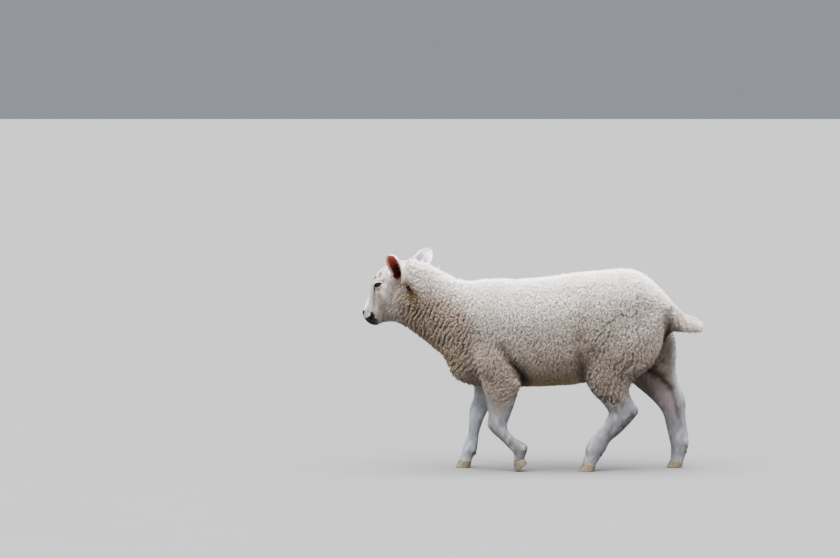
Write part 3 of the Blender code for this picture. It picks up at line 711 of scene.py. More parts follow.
def head_details(mesh):
    """Lids round the eyeballs, nostrils and the line of the mouth, as moves of the skin's points."""
    build = bmesh.new()
    build.from_mesh(mesh)
    for reach in (16.0, 12.5):
        points = np.array([v.co for v in build.verts])
        h = unturned(points)
        q = np.array(h)
        q[:, 1] = np.abs(q[:, 1])
        a, u, w, f = eye_place(h)
        near = (np.hypot(a, u) < reach) & (w > 0) & (h[:, 0] < -340)
        near |= np.minimum(path_distance(q, nostril_path(1)), path_distance(q, mouth_path(1))) < reach - 11.0
        build.verts.ensure_lookup_table()
        edges = [e for e in build.edges if near[e.verts[0].index] and near[e.verts[1].index]]
        bmesh.ops.subdivide_edges(build, edges=edges, cuts=1, use_grid_fill=True)
        build.verts.index_update()
    bmesh.ops.triangulate(build, faces=[f for f in build.faces if len(f.verts) > 4])
    build.to_mesh(mesh)
    build.free()
    mesh.update()
    points, edges = coordinates(mesh), edges_of(mesh)
    h = unturned(points)
    head = h[:, 0] < -335
    a, u, w, f = eye_place(h)
    near = head & (w > -4) & (np.hypot(a, u) < 26)
    h = unturned(smoothed(points, edges, 6, near[:, None] * 1.0))
    a, u, w, f = eye_place(h)
    out = np.hypot(a, u)
    ball = EYE_R + 1.35
    bend = math.radians(52)
    cover = np.where(
        out < ball * math.sin(bend),
        np.sqrt(np.maximum(ball**2 - out**2, 0)),
        ball * math.cos(bend) - (out - ball * math.sin(bend)) * math.tan(bend),
    )
    blend = 2.0
    high = np.maximum(w, cover)
    lifted = high + blend * np.log(np.exp((w - high) / blend) + np.exp((cover - high) / blend))
    lifted -= blend * math.log(2) * np.exp(-((w - cover) ** 2) / 8)
    # over the opening the skin hugs the ball; its edge is rounded, and inside it drops below the ball
    hug = step(7.0, 1.5, f)
    lifted = lifted * (1 - hug) + np.maximum(cover, np.minimum(lifted, cover + 0.6)) * hug
    lifted += 0.45 * np.exp(-(((f - 1.2) / 0.8) ** 2)) - 0.75 * np.exp(-(((f - 4.3) / 0.9) ** 2)) * step(0, 2, u)
    lifted -= 0.4 * np.exp(-(((f - 3.6) / 0.9) ** 2)) * step(0, -2, u)
    lifted -= 1.2 * step(0.7, 0.0, f) + 3.4 * step(0.15, -0.9, f)
    ease = near * step(24, 18, out) * step(-4, 0, w)
    moved = (lifted - w) * ease
    way = np.tile(EYE_AXIS, (len(h), 1))
    way[:, 1] *= np.sign(h[:, 1])
    h = h + way * moved[:, None]
    set_coordinates(mesh, turned(h))
    way = unturned_way(normals(mesh))
    h0 = h.copy()
    q = h0.copy()
    q[:, 1] = np.abs(q[:, 1])
    for side in (-1, 1):
        here = (np.sign(h0[:, 1]) == side) | (np.abs(h0[:, 1]) < 1.5)
        d = path_distance(h0, nostril_path(side))
        h -= way * ((4.6 * np.exp(-((d / 2.1) ** 2)) - 0.45 * np.exp(-(((d - 3.5) / 1.4) ** 2))) * here * head)[:, None]
        d = path_distance(h0, mouth_path(side))
        h -= way * ((1.3 * np.exp(-((d / 0.8) ** 2)) - 0.3 * np.exp(-(((d - 2.2) / 1.4) ** 2))) * here * head)[:, None]
    # the groove from the nose to the upper lip, the wrinkles over the eye and the tear line under it
    d = path_distance(h0, [(-432, 0, 392), (-430, 0, 378)])
    h -= way * (0.8 * np.exp(-((d / 1.0) ** 2)) * head)[:, None]
    for path, deep in (
        ([(-390, 28, 476), (-384, 33, 481), (-376, 38, 483)], 0.8),
        ([(-388, 26, 483), (-381, 32, 488), (-372, 37, 489)], 0.8),
        ([(-387, 33, 457), (-389, 31, 451), (-389, 29, 444)], 0.6),
    ):
        d = path_distance(q, path)
        h -= way * (deep * np.exp(-((d / 1.3) ** 2)) * head)[:, None]
    set_coordinates(mesh, turned(h))
    return mesh


seam_at, seam_normal = seam_plane()
head_loft = loft(HEAD, 80, 14)
fine = shaped([(turned(head_loft[0]), head_loft[1]), loft(NECK[:6], 72, 10)], HEAD_VOXEL, True)
legs_and_body = [loft(TRUNK, 56, 6), loft(NECK, 48, 6), (turned(head_loft[0]), head_loft[1])]
legs_and_body += [loft(rows, 32, 4) for rows in (FORELEG_LEFT, FORELEG_RIGHT, HINDLEG_LEFT, HINDLEG_RIGHT)]
legs_and_body.append(loft(TAIL, 28, 5))
coarse = shaped(legs_and_body, BODY_VOXEL, False)
skin_mesh = sewn(
    open_cut(fine, seam_at, seam_normal, False), open_cut(coarse, seam_at, seam_normal, True), seam_at, seam_normal
)
points, edges = coordinates(skin_mesh), edges_of(skin_mesh)
close = np.exp(-((((points - seam_at) @ seam_normal) / 9) ** 2)) * (points[:, 2] > 300)
set_coordinates(skin_mesh, smoothed(points, edges, 40, close[:, None]))
skin_mesh = head_details(skin_mesh)
for ear in EARS:
    ear_mesh = mesh_of(*ear_points(*ear, 2.5, 0.55), "ear")
    cutter = bpy.data.objects.new("ear", ear_mesh)
    bpy.context.scene.collection.objects.link(cutter)
    skin_mesh = applied(skin_mesh, "BOOLEAN", operation="UNION", solver="MANIFOLD", object=cutter)
    bpy.data.objects.remove(cutter, do_unlink=True)
print("skin", len(skin_mesh.vertices), len(skin_mesh.polygons))


# ---------------------------------------------------------------- colour, linear
def shade(red, green, blue):
    return np.array([((v / 255 + 0.055) / 1.055) ** 2.4 if v > 10 else v / 255 / 12.92 for v in (red, green, blue)])


def mixed(base, other, amount):
    return base + (other - base) * np.clip(amount, 0, 1)[:, None]


def blob(p, centre, radius):
    return np.exp(-(((p - np.array(centre)) / np.array(radius)) ** 2).sum(1))


def which_side(p):
    return p[:, 1] < 0


def coat_colour(p, woolly, ear=None):
    """The coat's colour near the tips at a point, with its markings and with painted shade and painted highlights.
    woolly is 1 in the fleece, 0 in the short hair.
    """
    h = unturned(p)
    z, x, y = p[:, 2], p[:, 0], p[:, 1]
    base = np.tile(shade(246, 244, 243), (len(p), 1))
    # the back is palest; lower down the wool is darker and warmer, partly painted shade, and the neck, the throat and
    # the belly are tinted brown and yellow
    low = step(430, 230, z) * woolly
    base = mixed(base, shade(226, 208, 195), low * 0.85)
    neck = step(-110, -200, x) * woolly * (1 - step(418, 484, z + (x + 300) * 0.25))
    neck *= (1 - 0.75 * step(350, 285, z + (x + 200) * 0.5)) * (1 - 0.55 * step(-312, -345, h[:, 0]))
    base = mixed(base, shade(196, 174, 162), neck * 0.85)
    base = mixed(base, shade(206, 180, 124), step(262, 208, z) * step(-24, 0, x) * step(112, 90, x) * woolly * 0.9)
    throat = np.exp(-((line_distance(p, -300, 372, -205, 268) / 30) ** 2)) * woolly
    base = mixed(base, shade(206, 184, 148), throat * 0.6)
    grey = waves(p, 46, 3) * 0.5 + waves(p, 17, 4) * 0.5
    base = mixed(base, shade(206, 192, 176), (0.16 + 0.28 * grey) * woolly)
    chest = blob(p, (-208, 0, 268), (26, 70, 30)) * woolly
    base = mixed(base, shade(206, 186, 152), chest * 0.55)
    # the short white hair of face and legs
    hair = 1 - woolly
    white = mixed(np.tile(shade(222, 220, 220), (len(p), 1)), shade(190, 178, 170), 0.30 + 0.35 * waves(p, 30, 5))
    # the legs' hair is painted grey as shade, less on the far foreleg where the light falls, and darker again low on
    # the forelegs
    limb = np.where((y > 0) & (x < 60), 1.0, 0.0)[:, None]
    limb_grey_shade = shade(158, 158, 164) * (1 - limb) + shade(184, 186, 192) * limb
    white = white + (limb_grey_shade - white) * (step(262, 225, z) * 0.95)[:, None]
    white = mixed(white, shade(122, 122, 120), step(125, 85, z) * (x < 60) * np.where(y < 0, step(-80, -50, x) * 0.8, 0.5))
    base = mixed(base, white, hair)
    # stains behind the jaw and down the throat, on both sides, stronger on the left
    near = np.where(y < 0, 1.0, 0.45)
    shaken = p + np.stack([waves(p, 16, 64), y * 0, waves(p, 16, 65)], 1) * 2.4
    streak = np.exp(-((line_distance(shaken, -301, 438, -293, 402) / 12) ** 2)) * (np.abs(y) > 10)
    base = mixed(base, shade(172, 148, 114), streak * near * (0.7 + 0.3 * waves(p, 14, 6)))
    spot = np.exp(-((line_distance(shaken, -318, 466, -299, 434) / 9.5) ** 2)) * (np.abs(y) > 15)
    base = mixed(base, shade(140, 112, 70), spot * near * 0.9)
    spot = np.exp(-((line_distance(shaken, -314, 459, -304, 441) / 5.4) ** 2)) * (np.abs(y) > 15)
    base = mixed(base, shade(92, 66, 34), spot * near * 0.95)
    spot = np.exp(-((line_distance(p, -312.5, 457, -309.5, 451) / 4.0) ** 2)) * (np.abs(y) > 15)
    base = mixed(base, shade(30, 17, 8), spot * near * 1.25)
    # dark painted shade in the folds of the fleece behind the elbow and before the thigh, along the lower edge of the
    # wool on the thighs and round the root of the tail
    fold = path_distance(p * np.array([1, 0, 1]), [(-60, 0, 274), (-34, 0, 249), (-26, 0, 226)]) + waves(p, 20, 43) * 1.5
    fold = np.exp(-((fold / 6.0) ** 2))
    fold = np.maximum(fold, np.exp(-((line_distance(p, -80, 310, -60, 276) / 8) ** 2)) * 0.5)
    base = mixed(base, shade(74, 53, 38), fold * woolly * (np.abs(y) > 30) * (y < 0) * 0.95)
    wedge = np.exp(-((line_distance(p, -26, 240, -14, 224) / 11) ** 2)) * (np.abs(y) > 30)
    base = mixed(base, shade(104, 82, 60), wedge * woolly * 0.7)
    fold = np.exp(-((line_distance(p, 110, 296, 114, 240) / 13) ** 2)) * (0.85 + 0.4 * waves(p, 15, 48))
    base = mixed(base, shade(166, 126, 88), fold * woolly * (np.abs(y) > 30) * (y < 0) * 0.6)
    band = np.exp(-((line_distance(p, 118, 402, 112, 330) / 15) ** 2)) * (0.7 + 0.5 * waves(p, 24, 47))
    base = mixed(base, shade(206, 178, 166), band * woolly * (np.abs(y) > 30) * 0.7)
    # painted shadow under the lower edge of the wool on the near and the far thigh
    hem = np.exp(-((line_distance(p, 178, 186, 214, 172) / 13) ** 2)) * (y < 0)
    base = mixed(base, shade(112, 90, 70), hem * (0.6 + 0.5 * waves(p, 12, 63)))
    hem = np.exp(-((line_distance(p, 288, 246, 330, 230) / 11) ** 2)) * (y > 0)
    base = mixed(base, shade(120, 90, 78), hem * 0.6)
    face = hair * (h[:, 0] < -330) * (z > 340)
    cheek = np.exp(-((line_distance(h, -388, 436, -372, 408) / 17) ** 2))
    base = mixed(base, shade(190, 172, 160), face * cheek * 0.6)
    brown = np.exp(-((line_distance(h, -376, 441, -372, 431) / 5.0) ** 2))
    base = mixed(base, shade(142, 114, 98), face * brown * 0.85)
    base = mixed(base, shade(222, 205, 190), face * step(440, 392, z) * 0.5)
    muzzle = face * np.exp(-((line_distance(h, -424, 404, -419, 388) / 13) ** 2))
    base = mixed(base, shade(205, 185, 172), muzzle * 0.55)
    speck = step(0.35, 0.8, waves(h, 7.5, 8)) * face * np.exp(-((line_distance(h, -414, 404, -410, 392) / 12) ** 2))
    base = mixed(base, shade(110, 90, 78), speck * 0.5)
    streaks = waves(h * np.array([1.0, 1.0, 0.45]), 9, 45) * 0.6 + waves(h * np.array([1.0, 1.0, 0.6]), 4.2, 46) * 0.4
    base = mixed(base, shade(150, 130, 120), face * step(0.0, 0.9, streaks) * 0.75)
    base = mixed(base, shade(250, 248, 250), face * step(0.0, 0.9, -streaks) * 0.6)
    # painted highlight along the ridge of the nose, from the eye down towards the nostril
    bone_highlight = np.exp(-((line_distance(h, -404, 452, -421, 404) / 7) ** 2)) * face
    base = mixed(base, shade(248, 247, 252), bone_highlight * 0.75)
    pale = np.exp(-((line_distance(h, -370, 458, -364, 432) / 4) ** 2)) * face
    base = mixed(base, shade(240, 234, 232), pale * 0.6)
    q = h.copy()
    q[:, 1] = np.abs(q[:, 1])
    # dark lips and chin, with an uneven edge
    ragged = waves(h, 9, 9) * 1.6 + waves(h, 4, 10) * 0.9
    lip = step(5.4, 2.8, path_distance(q, mouth_path(1)) + ragged)
    chin_line = np.interp(h[:, 0], [-432, -412, -402, -396, -384], [376, 379, 386, 384, 371]) - h[:, 2]
    chin = step(-1.5, 2.0, chin_line + ragged) * step(-383, -389, h[:, 0] + ragged + (376 - h[:, 2]) * 0.3) * (h[:, 2] < 390)
    dark = np.maximum(lip, chin) * face
    base = mixed(base, shade(11, 9, 10), dark * 0.99)
    patchy = np.exp(-((line_distance(h, -411, 375, -409, 368) / 3.4) ** 2)) * chin * face
    base = mixed(base, shade(76, 72, 68), patchy * 0.6)
    patchy = np.exp(-((line_distance(h, -402, 371, -394, 374) / 3.2) ** 2)) * chin * face
    base = mixed(base, shade(92, 88, 80), patchy * 0.5 * np.clip(0.7 + waves(h, 5, 25), 0, 1))
    # the slit of the mouth darkest: painted shade between the black lips
    line = face * step(1.9, 0.7, path_distance(q, mouth_path(1)))
    base = mixed(base, shade(8, 6, 7), line * 0.9)
    spike = face * step(5.2, 2.6, line_distance(h, -402.5, 383, -400.5, 391) + ragged)
    base = mixed(base, shade(12, 10, 11), spike * 0.98)
    # the nostrils near black: painted shade inside them
    nose = face * step(6.0, 4.0, path_distance(q, nostril_path(1)) + ragged * 0.4)
    base = mixed(base, shade(8, 6, 8), nose)
    # a bluish patch beside the nose: painted shade with the blue of the sky
    blue = face * np.exp(-((line_distance(h, -417, 396, -419, 388) / 4.0) ** 2))
    base = mixed(base, shade(150, 146, 172), blue * 0.55)
    nose_pink = face * np.exp(-((path_distance(q, nostril_path(1)) / 8) ** 2)) * (1 - nose)
    base = mixed(base, shade(182, 160, 158), nose_pink * 0.55)
    groove = face * step(1.8, 0.6, path_distance(h, [(-433, 0, 392), (-431, 0, 378)]))
    base = mixed(base, shade(90, 74, 72), groove * 0.7)
    # lid rims and the tear line
    a, u, w, f = eye_place(h)
    out = np.hypot(a, u)
    here = face * (w > 0) * (out < 24)
    base = mixed(base, shade(160, 144, 140), here * step(13, 7, out) * 0.5)
    rear = step(-8.5, -12.0, a)
    base = mixed(base, shade(22, 18, 19), here * step(np.where(u > -1.3, 3.6, 2.8) - 1.2 * rear, np.where(u > -1.3, 2.0, 1.4) - 0.8 * rear, f))
    side_on = face * (q[:, 1] > 14)
    tear = line_distance(h, -386.8, 462, -388.6, 446)
    base = mixed(base, shade(28, 21, 27), side_on * step(3.9, 1.9, tear) * 0.97)
    tear = line_distance(h, -388.4, 447, -389.6, 439)
    base = mixed(base, shade(84, 70, 76), side_on * step(3.4, 1.0, tear) * 0.7)
    temple = np.exp(-((line_distance(p, -348, 482, -346, 425) / 18) ** 2))
    base = base * (1 + temple[:, None] * np.array([0.05, 0.0, -0.07]))
    brow = face * np.exp(-((line_distance(h, -392, 494, -366, 490) / 18) ** 2))
    base = base * (1 - brow[:, None] * np.array([0.10, 0.13, 0.10]))
    crease = line_distance(h, -392, 475, -380, 482) + waves(h, 8, 44) * 0.6
    base = mixed(base, shade(140, 128, 128), side_on * step(3.0, 0.6, crease) * 0.6)
    for x1, z1, x2, z2, size, much in ((-374.5, 489.5, -375.2, 486.0, 4.4, 1.1), (-389.5, 482.5, -387.0, 480.5, 4.2, 1.0)):
        base = mixed(base, shade(72, 60, 60), side_on * np.exp(-((line_distance(h, x1, z1, x2, z2) / size) ** 2)) * much)
    # the legs: mottles of painted highlight and shade, a bluish painted tint of shade, soiled joints and feet, thin
    # pink hair inside the far thigh
    leg = hair * (z < 260)
    base = mixed(base, shade(118, 112, 112), leg * step(0.1, 1.0, waves(p * np.array([1, 1, 0.5]), 15, 13)) * 0.4)
    base = mixed(base, shade(222, 222, 228), leg * step(0.1, 1.0, waves(p * np.array([1, 1, 0.5]), 17, 17)) * 0.5)
    base = base * (1 - leg[:, None] * step(230, 170, z)[:, None] * np.array([0.03, 0.0, -0.03]))
    for x1, z1, x2, z2, size in ((243, 137, 218, 113, 9), (222, 112, 196, 88, 7), (196, 118, 186, 96, 5)):
        dirt = leg * np.exp(-((line_distance(p, x1, z1, x2, z2) / size) ** 2)) * np.clip(0.55 + waves(p, 6, 14), 0, 1)
        base = mixed(base, shade(88, 82, 80), dirt * 0.8 * np.where(y < 0, 1, 0.35))
    foot = leg * step(34, 12, z) * np.clip(0.6 + 0.6 * waves(p, 8, 15), 0, 1)
    base = mixed(base, shade(166, 150, 128), foot * 0.55)
    far = (y > 5) * step(68, 54, y) * step(300, 262, z) * (x > 200)
    pink = np.exp(-((line_distance(p, 300, 232, 338, 160) / 15) ** 2)) * far
    base = mixed(base, shade(196, 164, 164), pink * 0.65)
    edge = np.exp(-((line_distance(p, 258, 236, 300, 190) / 9) ** 2)) * far
    base = mixed(base, shade(150, 130, 88), edge * 0.6)
    # painted shade in the grooves of the far hind leg, under the wool of the thigh and between the tendon and the bone
    groove = np.minimum(line_distance(p, 286, 248, 323, 228), line_distance(p, 323, 228, 347, 204)) + waves(p, 14, 18) * 1.5
    base = mixed(base, shade(92, 62, 54), np.exp(-((groove / 8.5) ** 2)) * far * 0.95)
    groove = np.minimum(line_distance(p, 347, 204, 356, 174), line_distance(p, 356, 174, 367, 130)) + waves(p, 12, 19) * 1.2
    base = mixed(base, shade(104, 90, 92), np.exp(-((groove / 4.2) ** 2)) * far * 0.8)
    spots = np.maximum(blob(p, (327, 60, 267), (5, 60, 5)), blob(p, (306, 60, 254), (9, 60, 8)))
    base = mixed(base, shade(70, 50, 38), spots * far * 0.85)
    rear = np.minimum(line_distance(p, 362, 330, 362, 250), line_distance(p, 362, 250, 384, 170))
    rear = np.minimum(rear, line_distance(p, 386, 165, 392, 70))
    # the far hind leg's rear edge near white: partly its white fringe, partly a painted highlight on the edge
    base = mixed(base, shade(236, 238, 246), step(16, 7, rear) * (y > 5) * (x > 320) * (z < 335) * (0.4 + 0.45 * step(150, 220, z)))
    tail = step(345, 372, x) * (z > 300)
    base = mixed(base, shade(208, 201, 196), tail * 0.7)
    under = tail * step(352, 336, z - (x - 380) * -0.35)
    base = mixed(base, shade(160, 138, 118), under * 0.55)
    for x1, z1, x2, z2, size, much in ((361, 398, 366, 351, 3.4, 0.6), (372, 389, 388, 351, 3.4, 0.65), (394, 372, 406, 346, 3.0, 0.35)):
        ring = line_distance(p, x1, z1, x2, z2) + waves(p, 18, 66) * 1.5
        base = mixed(base, shade(128, 108, 96), np.exp(-((ring / size) ** 2)) * much * tail)
    # darker round the root of the tail, with painted shadow in a line under it
    dock = np.exp(-((line_distance(p, 336, 398, 338, 340) / 15) ** 2)) * (0.7 + 0.5 * waves(p, 12, 16)) * (np.abs(y) > 8)
    base = mixed(base, shade(168, 138, 118), dock * 0.6)
    dock = np.exp(-((line_distance(p, 340, 362, 330, 322) / 6.5) ** 2)) * (y > -75)
    base = mixed(base, shade(76, 52, 40), dock * 0.85)
    return np.clip(base, 0.002, 0.95)


def with_painted_shade(colour, normal, woolly, p):
    """The same colour with painted shade: duller where the coat faces sideways, darker where it faces the ground, and
    lighter again in a few places.
    """
    nz = normal[:, 2]
    fore = step(-120, -190, p[:, 0])
    belly = step(-30, 0, p[:, 0]) * step(125, 100, p[:, 0])
    jaw = np.exp(-((line_distance(p, -345, 400, -318, 430) / 26) ** 2))
    dip = np.exp(-((line_distance(p, -146, 300, -132, 238) / 16) ** 2)) * (p[:, 1] < 0)
    ham = blob(p, (215, -90, 280), (95, 70, 95))
    rim = np.exp(-((line_distance(p, 236, 228, 318, 312) / 20) ** 2)) * (p[:, 1] < -20)
    calf = blob(p, (180, -90, 228), (62, 70, 42))
    side = blob(p, (205, -100, 352), (75, 80, 38))
    temple = np.exp(-((line_distance(p, -348, 482, -344, 440) / 15) ** 2))
    # painted shade set by the way the surface faces; rim (the near thigh's rear edge) and dip (the groove before the
    # near foreleg) are painted light, and the other terms set how much shade is painted
    dull = 1 - (0.625 - 0.24 * rim - 0.06 * calf - 0.05 * side - 0.13 * temple + 0.055 * ham - 0.10 * fore * step(330, 280, p[:, 2]) - 0.14 * dip - 0.08 * jaw) * step(0.85, -0.05, nz) - (0.25 - 0.22 * np.maximum(fore, belly)) * step(-0.05, -0.75, nz) * step(150, 215, p[:, 2])
    dull = 1 - (1 - dull) * np.where(p[:, 1] > 0, np.maximum(step(366, 340, p[:, 0]), 0.55 + 0.45 * step(230, 170, p[:, 2])), step(385, 345, p[:, 0]))
    # the painted shade is mostly taken off the far foreleg, and a little off the lower near foreleg, so that the
    # forelegs stay whiter than the flanks
    dull = 1 - (1 - dull) * (1 - 0.78 * (p[:, 1] > 5) * step(-85, -110, p[:, 0]) * step(252, 222, p[:, 2]) * (1 - woolly))
    dull = 1 - (1 - dull) * (1 - 0.2 * (p[:, 1] <= 5) * step(60, 20, p[:, 0]) * step(130, 105, p[:, 2]) * (1 - woolly))
    low = np.stack([dull, dull * (1 - 0.085 * (1 - dull)), dull * (1 - 0.175 * (1 - dull))], 1)
    mild = 1 - (1 - low) * (0.74 + 0.26 * woolly)[:, None]
    return colour * mild


def ear_colour(p, side_index, inside, arc):
    """inside is 1 on the hollow of the ear; arc runs from -1 at its front edge to 1 at its rear edge."""
    ear = EARS[side_index]
    u, across, up = ear_place(p, ear)
    rough = waves(p, 5, 71) * 0.04
    if side_index == 0:
        base = mixed(np.tile(shade(232, 218, 206), (len(p), 1)), shade(214, 178, 158), step(-0.3, -0.9, arc) * step(0.3, 0.6, u) * 0.7)
        base = mixed(base, shade(150, 112, 108), step(-0.4, -0.1, arc) * step(0.95, 0.1, arc) * inside * 0.9)
        mid = np.where(arc < 0, step(0.90, 0.72, -arc + rough), step(0.06, -0.20, arc + rough - 0.06 * step(0.5, 0.9, u)))
        hollow = inside * mid * step(0.96, 0.80, u + rough) * step(0.0, 0.14, u + rough * 0.5 + 0.14 * np.minimum(arc + 0.45, 0))
        # the near ear's hollow: its pink skin painted deep red as light shining through it, orange towards the tip,
        # darker towards the root and near black at the front of the cup's bottom as painted shade
        inner = mixed(np.tile(shade(134, 42, 34), (len(p), 1)), shade(84, 15, 14), step(0.66, 0.40, u + rough - 0.22 * arc))
        inner = mixed(inner, shade(172, 96, 76), step(0.62, 0.94, u - 0.15 * arc) * 0.7)
        inner = mixed(inner, shade(34, 7, 9), step(-0.60, -0.2, arc) * step(0.64, 0.34, u))
    else:
        base = np.tile(shade(252, 250, 250), (len(p), 1))
        mid = step(0.94, 0.62, np.abs(arc) + rough)
        hollow = inside * mid * step(0.97, 0.70, u + rough)
        # the far ear's hollow: pink-mauve skin with light shining through it, darker towards the root as painted shade
        inner = mixed(np.tile(shade(154, 122, 156), (len(p), 1)), shade(112, 60, 88), step(0.70, 0.36, u + rough))
    return base + (inner - base) * hollow[:, None]


# ---------------------------------------------------------------- the lie of the coat
def lie_of(p, normal, ear_axis):
    """A unit direction along the surface, from the roots towards the tips."""
    h = unturned(p)
    x, y, z = p[:, 0], p[:, 1], p[:, 2]
    n = len(p)
    way = grain_of(p) + np.stack([np.full(n, 0.0), np.clip(y / 45, -1, 1) * 0.45, np.full(n, 0.0)], 1)
    top = step(0.55, 0.95, normal[:, 2])[:, None]
    way = way * (1 - top) + np.stack([np.full(n, 1.0), np.clip(y / 30, -1, 1) * 0.9, np.full(n, -0.2)], 1) * top
    under = step(-0.5, -0.9, normal[:, 2])[:, None] * step(160, 200, z)[:, None]
    way = way * (1 - under) + np.array([1.0, 0, -0.1]) * under
    leg = step(240, 190, z)[:, None]
    way = way * (1 - leg) + np.array([0.22, 0, -1.0]) * leg
    tail = (step(350, 375, x) * (z > 300))[:, None]
    way = way * (1 - tail) + np.array([1.0, 0, -0.42]) * tail
    face = step(-352, -362, h[:, 0] - (h[:, 2] - 380) * 0.19)[:, None]
    back = turned_way([[0.8, 0, 0.45]])[0]
    low = step(430, 395, h[:, 2])[:, None]
    back = back * (1 - low) + turned_way([[0.95, 0, 0.1]])[0] * low
    way = way * (1 - face) + back * face
    on_ear = np.linalg.norm(ear_axis, axis=1)[:, None] > 0.5
    way = np.where(on_ear, ear_axis, way)
    way = way - normal * (way * normal).sum(1)[:, None]
    return way / np.maximum(np.linalg.norm(way, axis=1), 1e-6)[:, None]


def calm_of(p):
    """1 where the fleece lies close and even, on the back and the upper flank; 0 where it is open and curled."""
    x, z = p[:, 0], p[:, 2]
    even = step(-185, -70, x) * (0.55 + 0.45 * step(250, 390, z))
    return np.clip(even + 0.25 * np.exp(-(((x - 205) / 80) ** 2) - ((z - 280) / 80) ** 2), 0, 1)


FIELDS = (
    # gradient (x, z) of the wrinkles, their spacing, how long the staples are drawn, how much of the wrinkles shows
    ("side", (1.0, -0.06), 10.5, 1.7, 0.55),
    ("neck", (0.93, -0.36), 11.5, 1.6, 1.1),
    ("chest", (0.74, -0.67), 12.5, 1.7, 1.1),
    ("elbow", (0.66, -0.75), 9.5, 1.6, 0.7),
    ("thigh", (0.97, -0.24), 12.0, 1.9, 0.85),
)


def field_weights(p):
    """How much each of FIELDS holds at points; they add up to 1."""
    x, z, near = p[:, 0], p[:, 2], p[:, 1] < 0
    neck = step(-110, -165, x)
    chest = step(318, 270, z + (x + 180) * 0.35) * step(-95, -135, x)
    elbow = step(258, 232, z) * step(-170, -150, x) * step(10, -10, x)
    shift = np.where(near, 0, 42)
    thigh = np.exp(-((np.maximum(np.abs(x - 212 - shift) - 62, 0) / 26) ** 2)) * step(402, 366, z)
    neck = neck * (1 - chest) * (1 - elbow)
    chest = chest * (1 - elbow)
    side = np.clip(1 - neck - chest - elbow - thigh, 0, 1)
    rows = np.stack([side, neck, chest, elbow, thigh])
    return rows / np.maximum(rows.sum(0), 1e-6)


def wander(p):
    bent = p + np.stack([waves(p, 46, 21), waves(p, 46, 22), waves(p, 46, 23)], 1) * 5.0
    return bent + np.stack([waves(p, 17, 24), waves(p, 17, 25), waves(p, 17, 26)], 1) * 1.7


def wrinkles(p):
    """(0 in a wrinkle of the fleece to 1 on the fold between two, the way to the middle of the fold in millimetres)."""
    bent, weights = wander(p), field_weights(p)
    shown = np.zeros(len(p))
    pull = np.zeros((len(p), 3))
    patchy = np.clip(0.55 + 0.75 * waves(p, 34, 27), 0, 1)
    for number, (_, (gx, gz), gap, _, much) in enumerate(FIELDS):
        size = math.hypot(gx, gz)
        phase = (bent[:, 0] * gx + bent[:, 2] * gz) / size / gap
        off = np.mod(phase, 1) - 0.5
        line = step(0.26, 0.46, np.abs(off)) * patchy
        strong = weights[number] * much
        shown = np.maximum(shown, line * strong)
        pull -= np.stack([off * gx, off * 0, off * gz], 1) / size * (gap * strong * (0.4 + 0.6 * patchy))[:, None]
    return 1 - shown, pull


def grain_of(p):
    """The way the staples' tips are drawn out on the flank, along the wrinkles."""
    weights = field_weights(p)
    way = np.zeros((len(p), 3))
    for number, (_, (gx, gz), _, _, _) in enumerate(FIELDS):
        way += np.array([gz, 0, -gx])[None, :] / math.hypot(gx, gz) * weights[number][:, None]
    return way / np.maximum(np.linalg.norm(way, axis=1), 1e-6)[:, None]


def cracks(p):
    """0 in the open wrinkles of the fleece, 1 between them."""
    top = step(505, 440, p[:, 2]) * np.where(p[:, 0] < -150, 1, step(450, 385, p[:, 2]) * 0.75 + 0.25)
    face = step(-338, -318, unturned(p)[:, 0])
    tail = 1 - step(338, 352, p[:, 0])
    shown = (1 - wrinkles(p)[0]) * top * face * tail
    bent = wander(p)
    near = p[:, 1] < 0
    for x1, z1, x2, z2, size in ARCH:
        d = line_distance(bent, x1, z1, x2, z2)
        shown = np.maximum(shown, step(size * 1.5, size * 0.5, d) * near * (0.9 + 0.3 * waves(p, 20, 52)))
    return 1 - np.clip(shown, 0, 1)


# creases over the left thigh (x1, z1, x2, z2, half width)
ARCH = (
    (146, 312, 166, 352, 2.6),
    (166, 352, 182, 378, 2.6),
    (182, 378, 206, 392, 2.4),
    (206, 392, 246, 390, 2.4),
    (252, 402, 258, 366, 2.6),
    (262, 356, 252, 320, 2.4),
    (186, 430, 192, 408, 2.0),
    (222, 348, 250, 334, 2.2),
    (176, 322, 190, 356, 2.2),
    (200, 250, 216, 292, 2.4),
    (232, 262, 246, 300, 2.4),
    (214, 236, 226, 262, 2.4),
    (266, 300, 276, 338, 2.2),
)


# ---------------------------------------------------------------- roots
def triangles_with(mesh):
    mesh.calc_loop_triangles()
    flat = np.empty(len(mesh.loop_triangles) * 3, np.int32)
    mesh.loop_triangles.foreach_get("vertices", flat)
    return flat.reshape(-1, 3)


def scattered(points, tris, weight, count, rng):
    """Random places on the triangles: (triangle, its three weights), by area times weight."""
    a, b, c = points[tris[:, 0]], points[tris[:, 1]], points[tris[:, 2]]
    area = np.linalg.norm(np.cross(b - a, c - a), axis=1) / 2 * weight[tris].mean(1)
    total = np.cumsum(area)
    pick = np.searchsorted(total, rng.random(count) * total[-1])
    pick = np.minimum(pick, len(tris) - 1)
    r1, r2 = np.sqrt(rng.random(count)), rng.random(count)
    return pick, np.stack([1 - r1, r1 * (1 - r2), r1 * r2], 1)


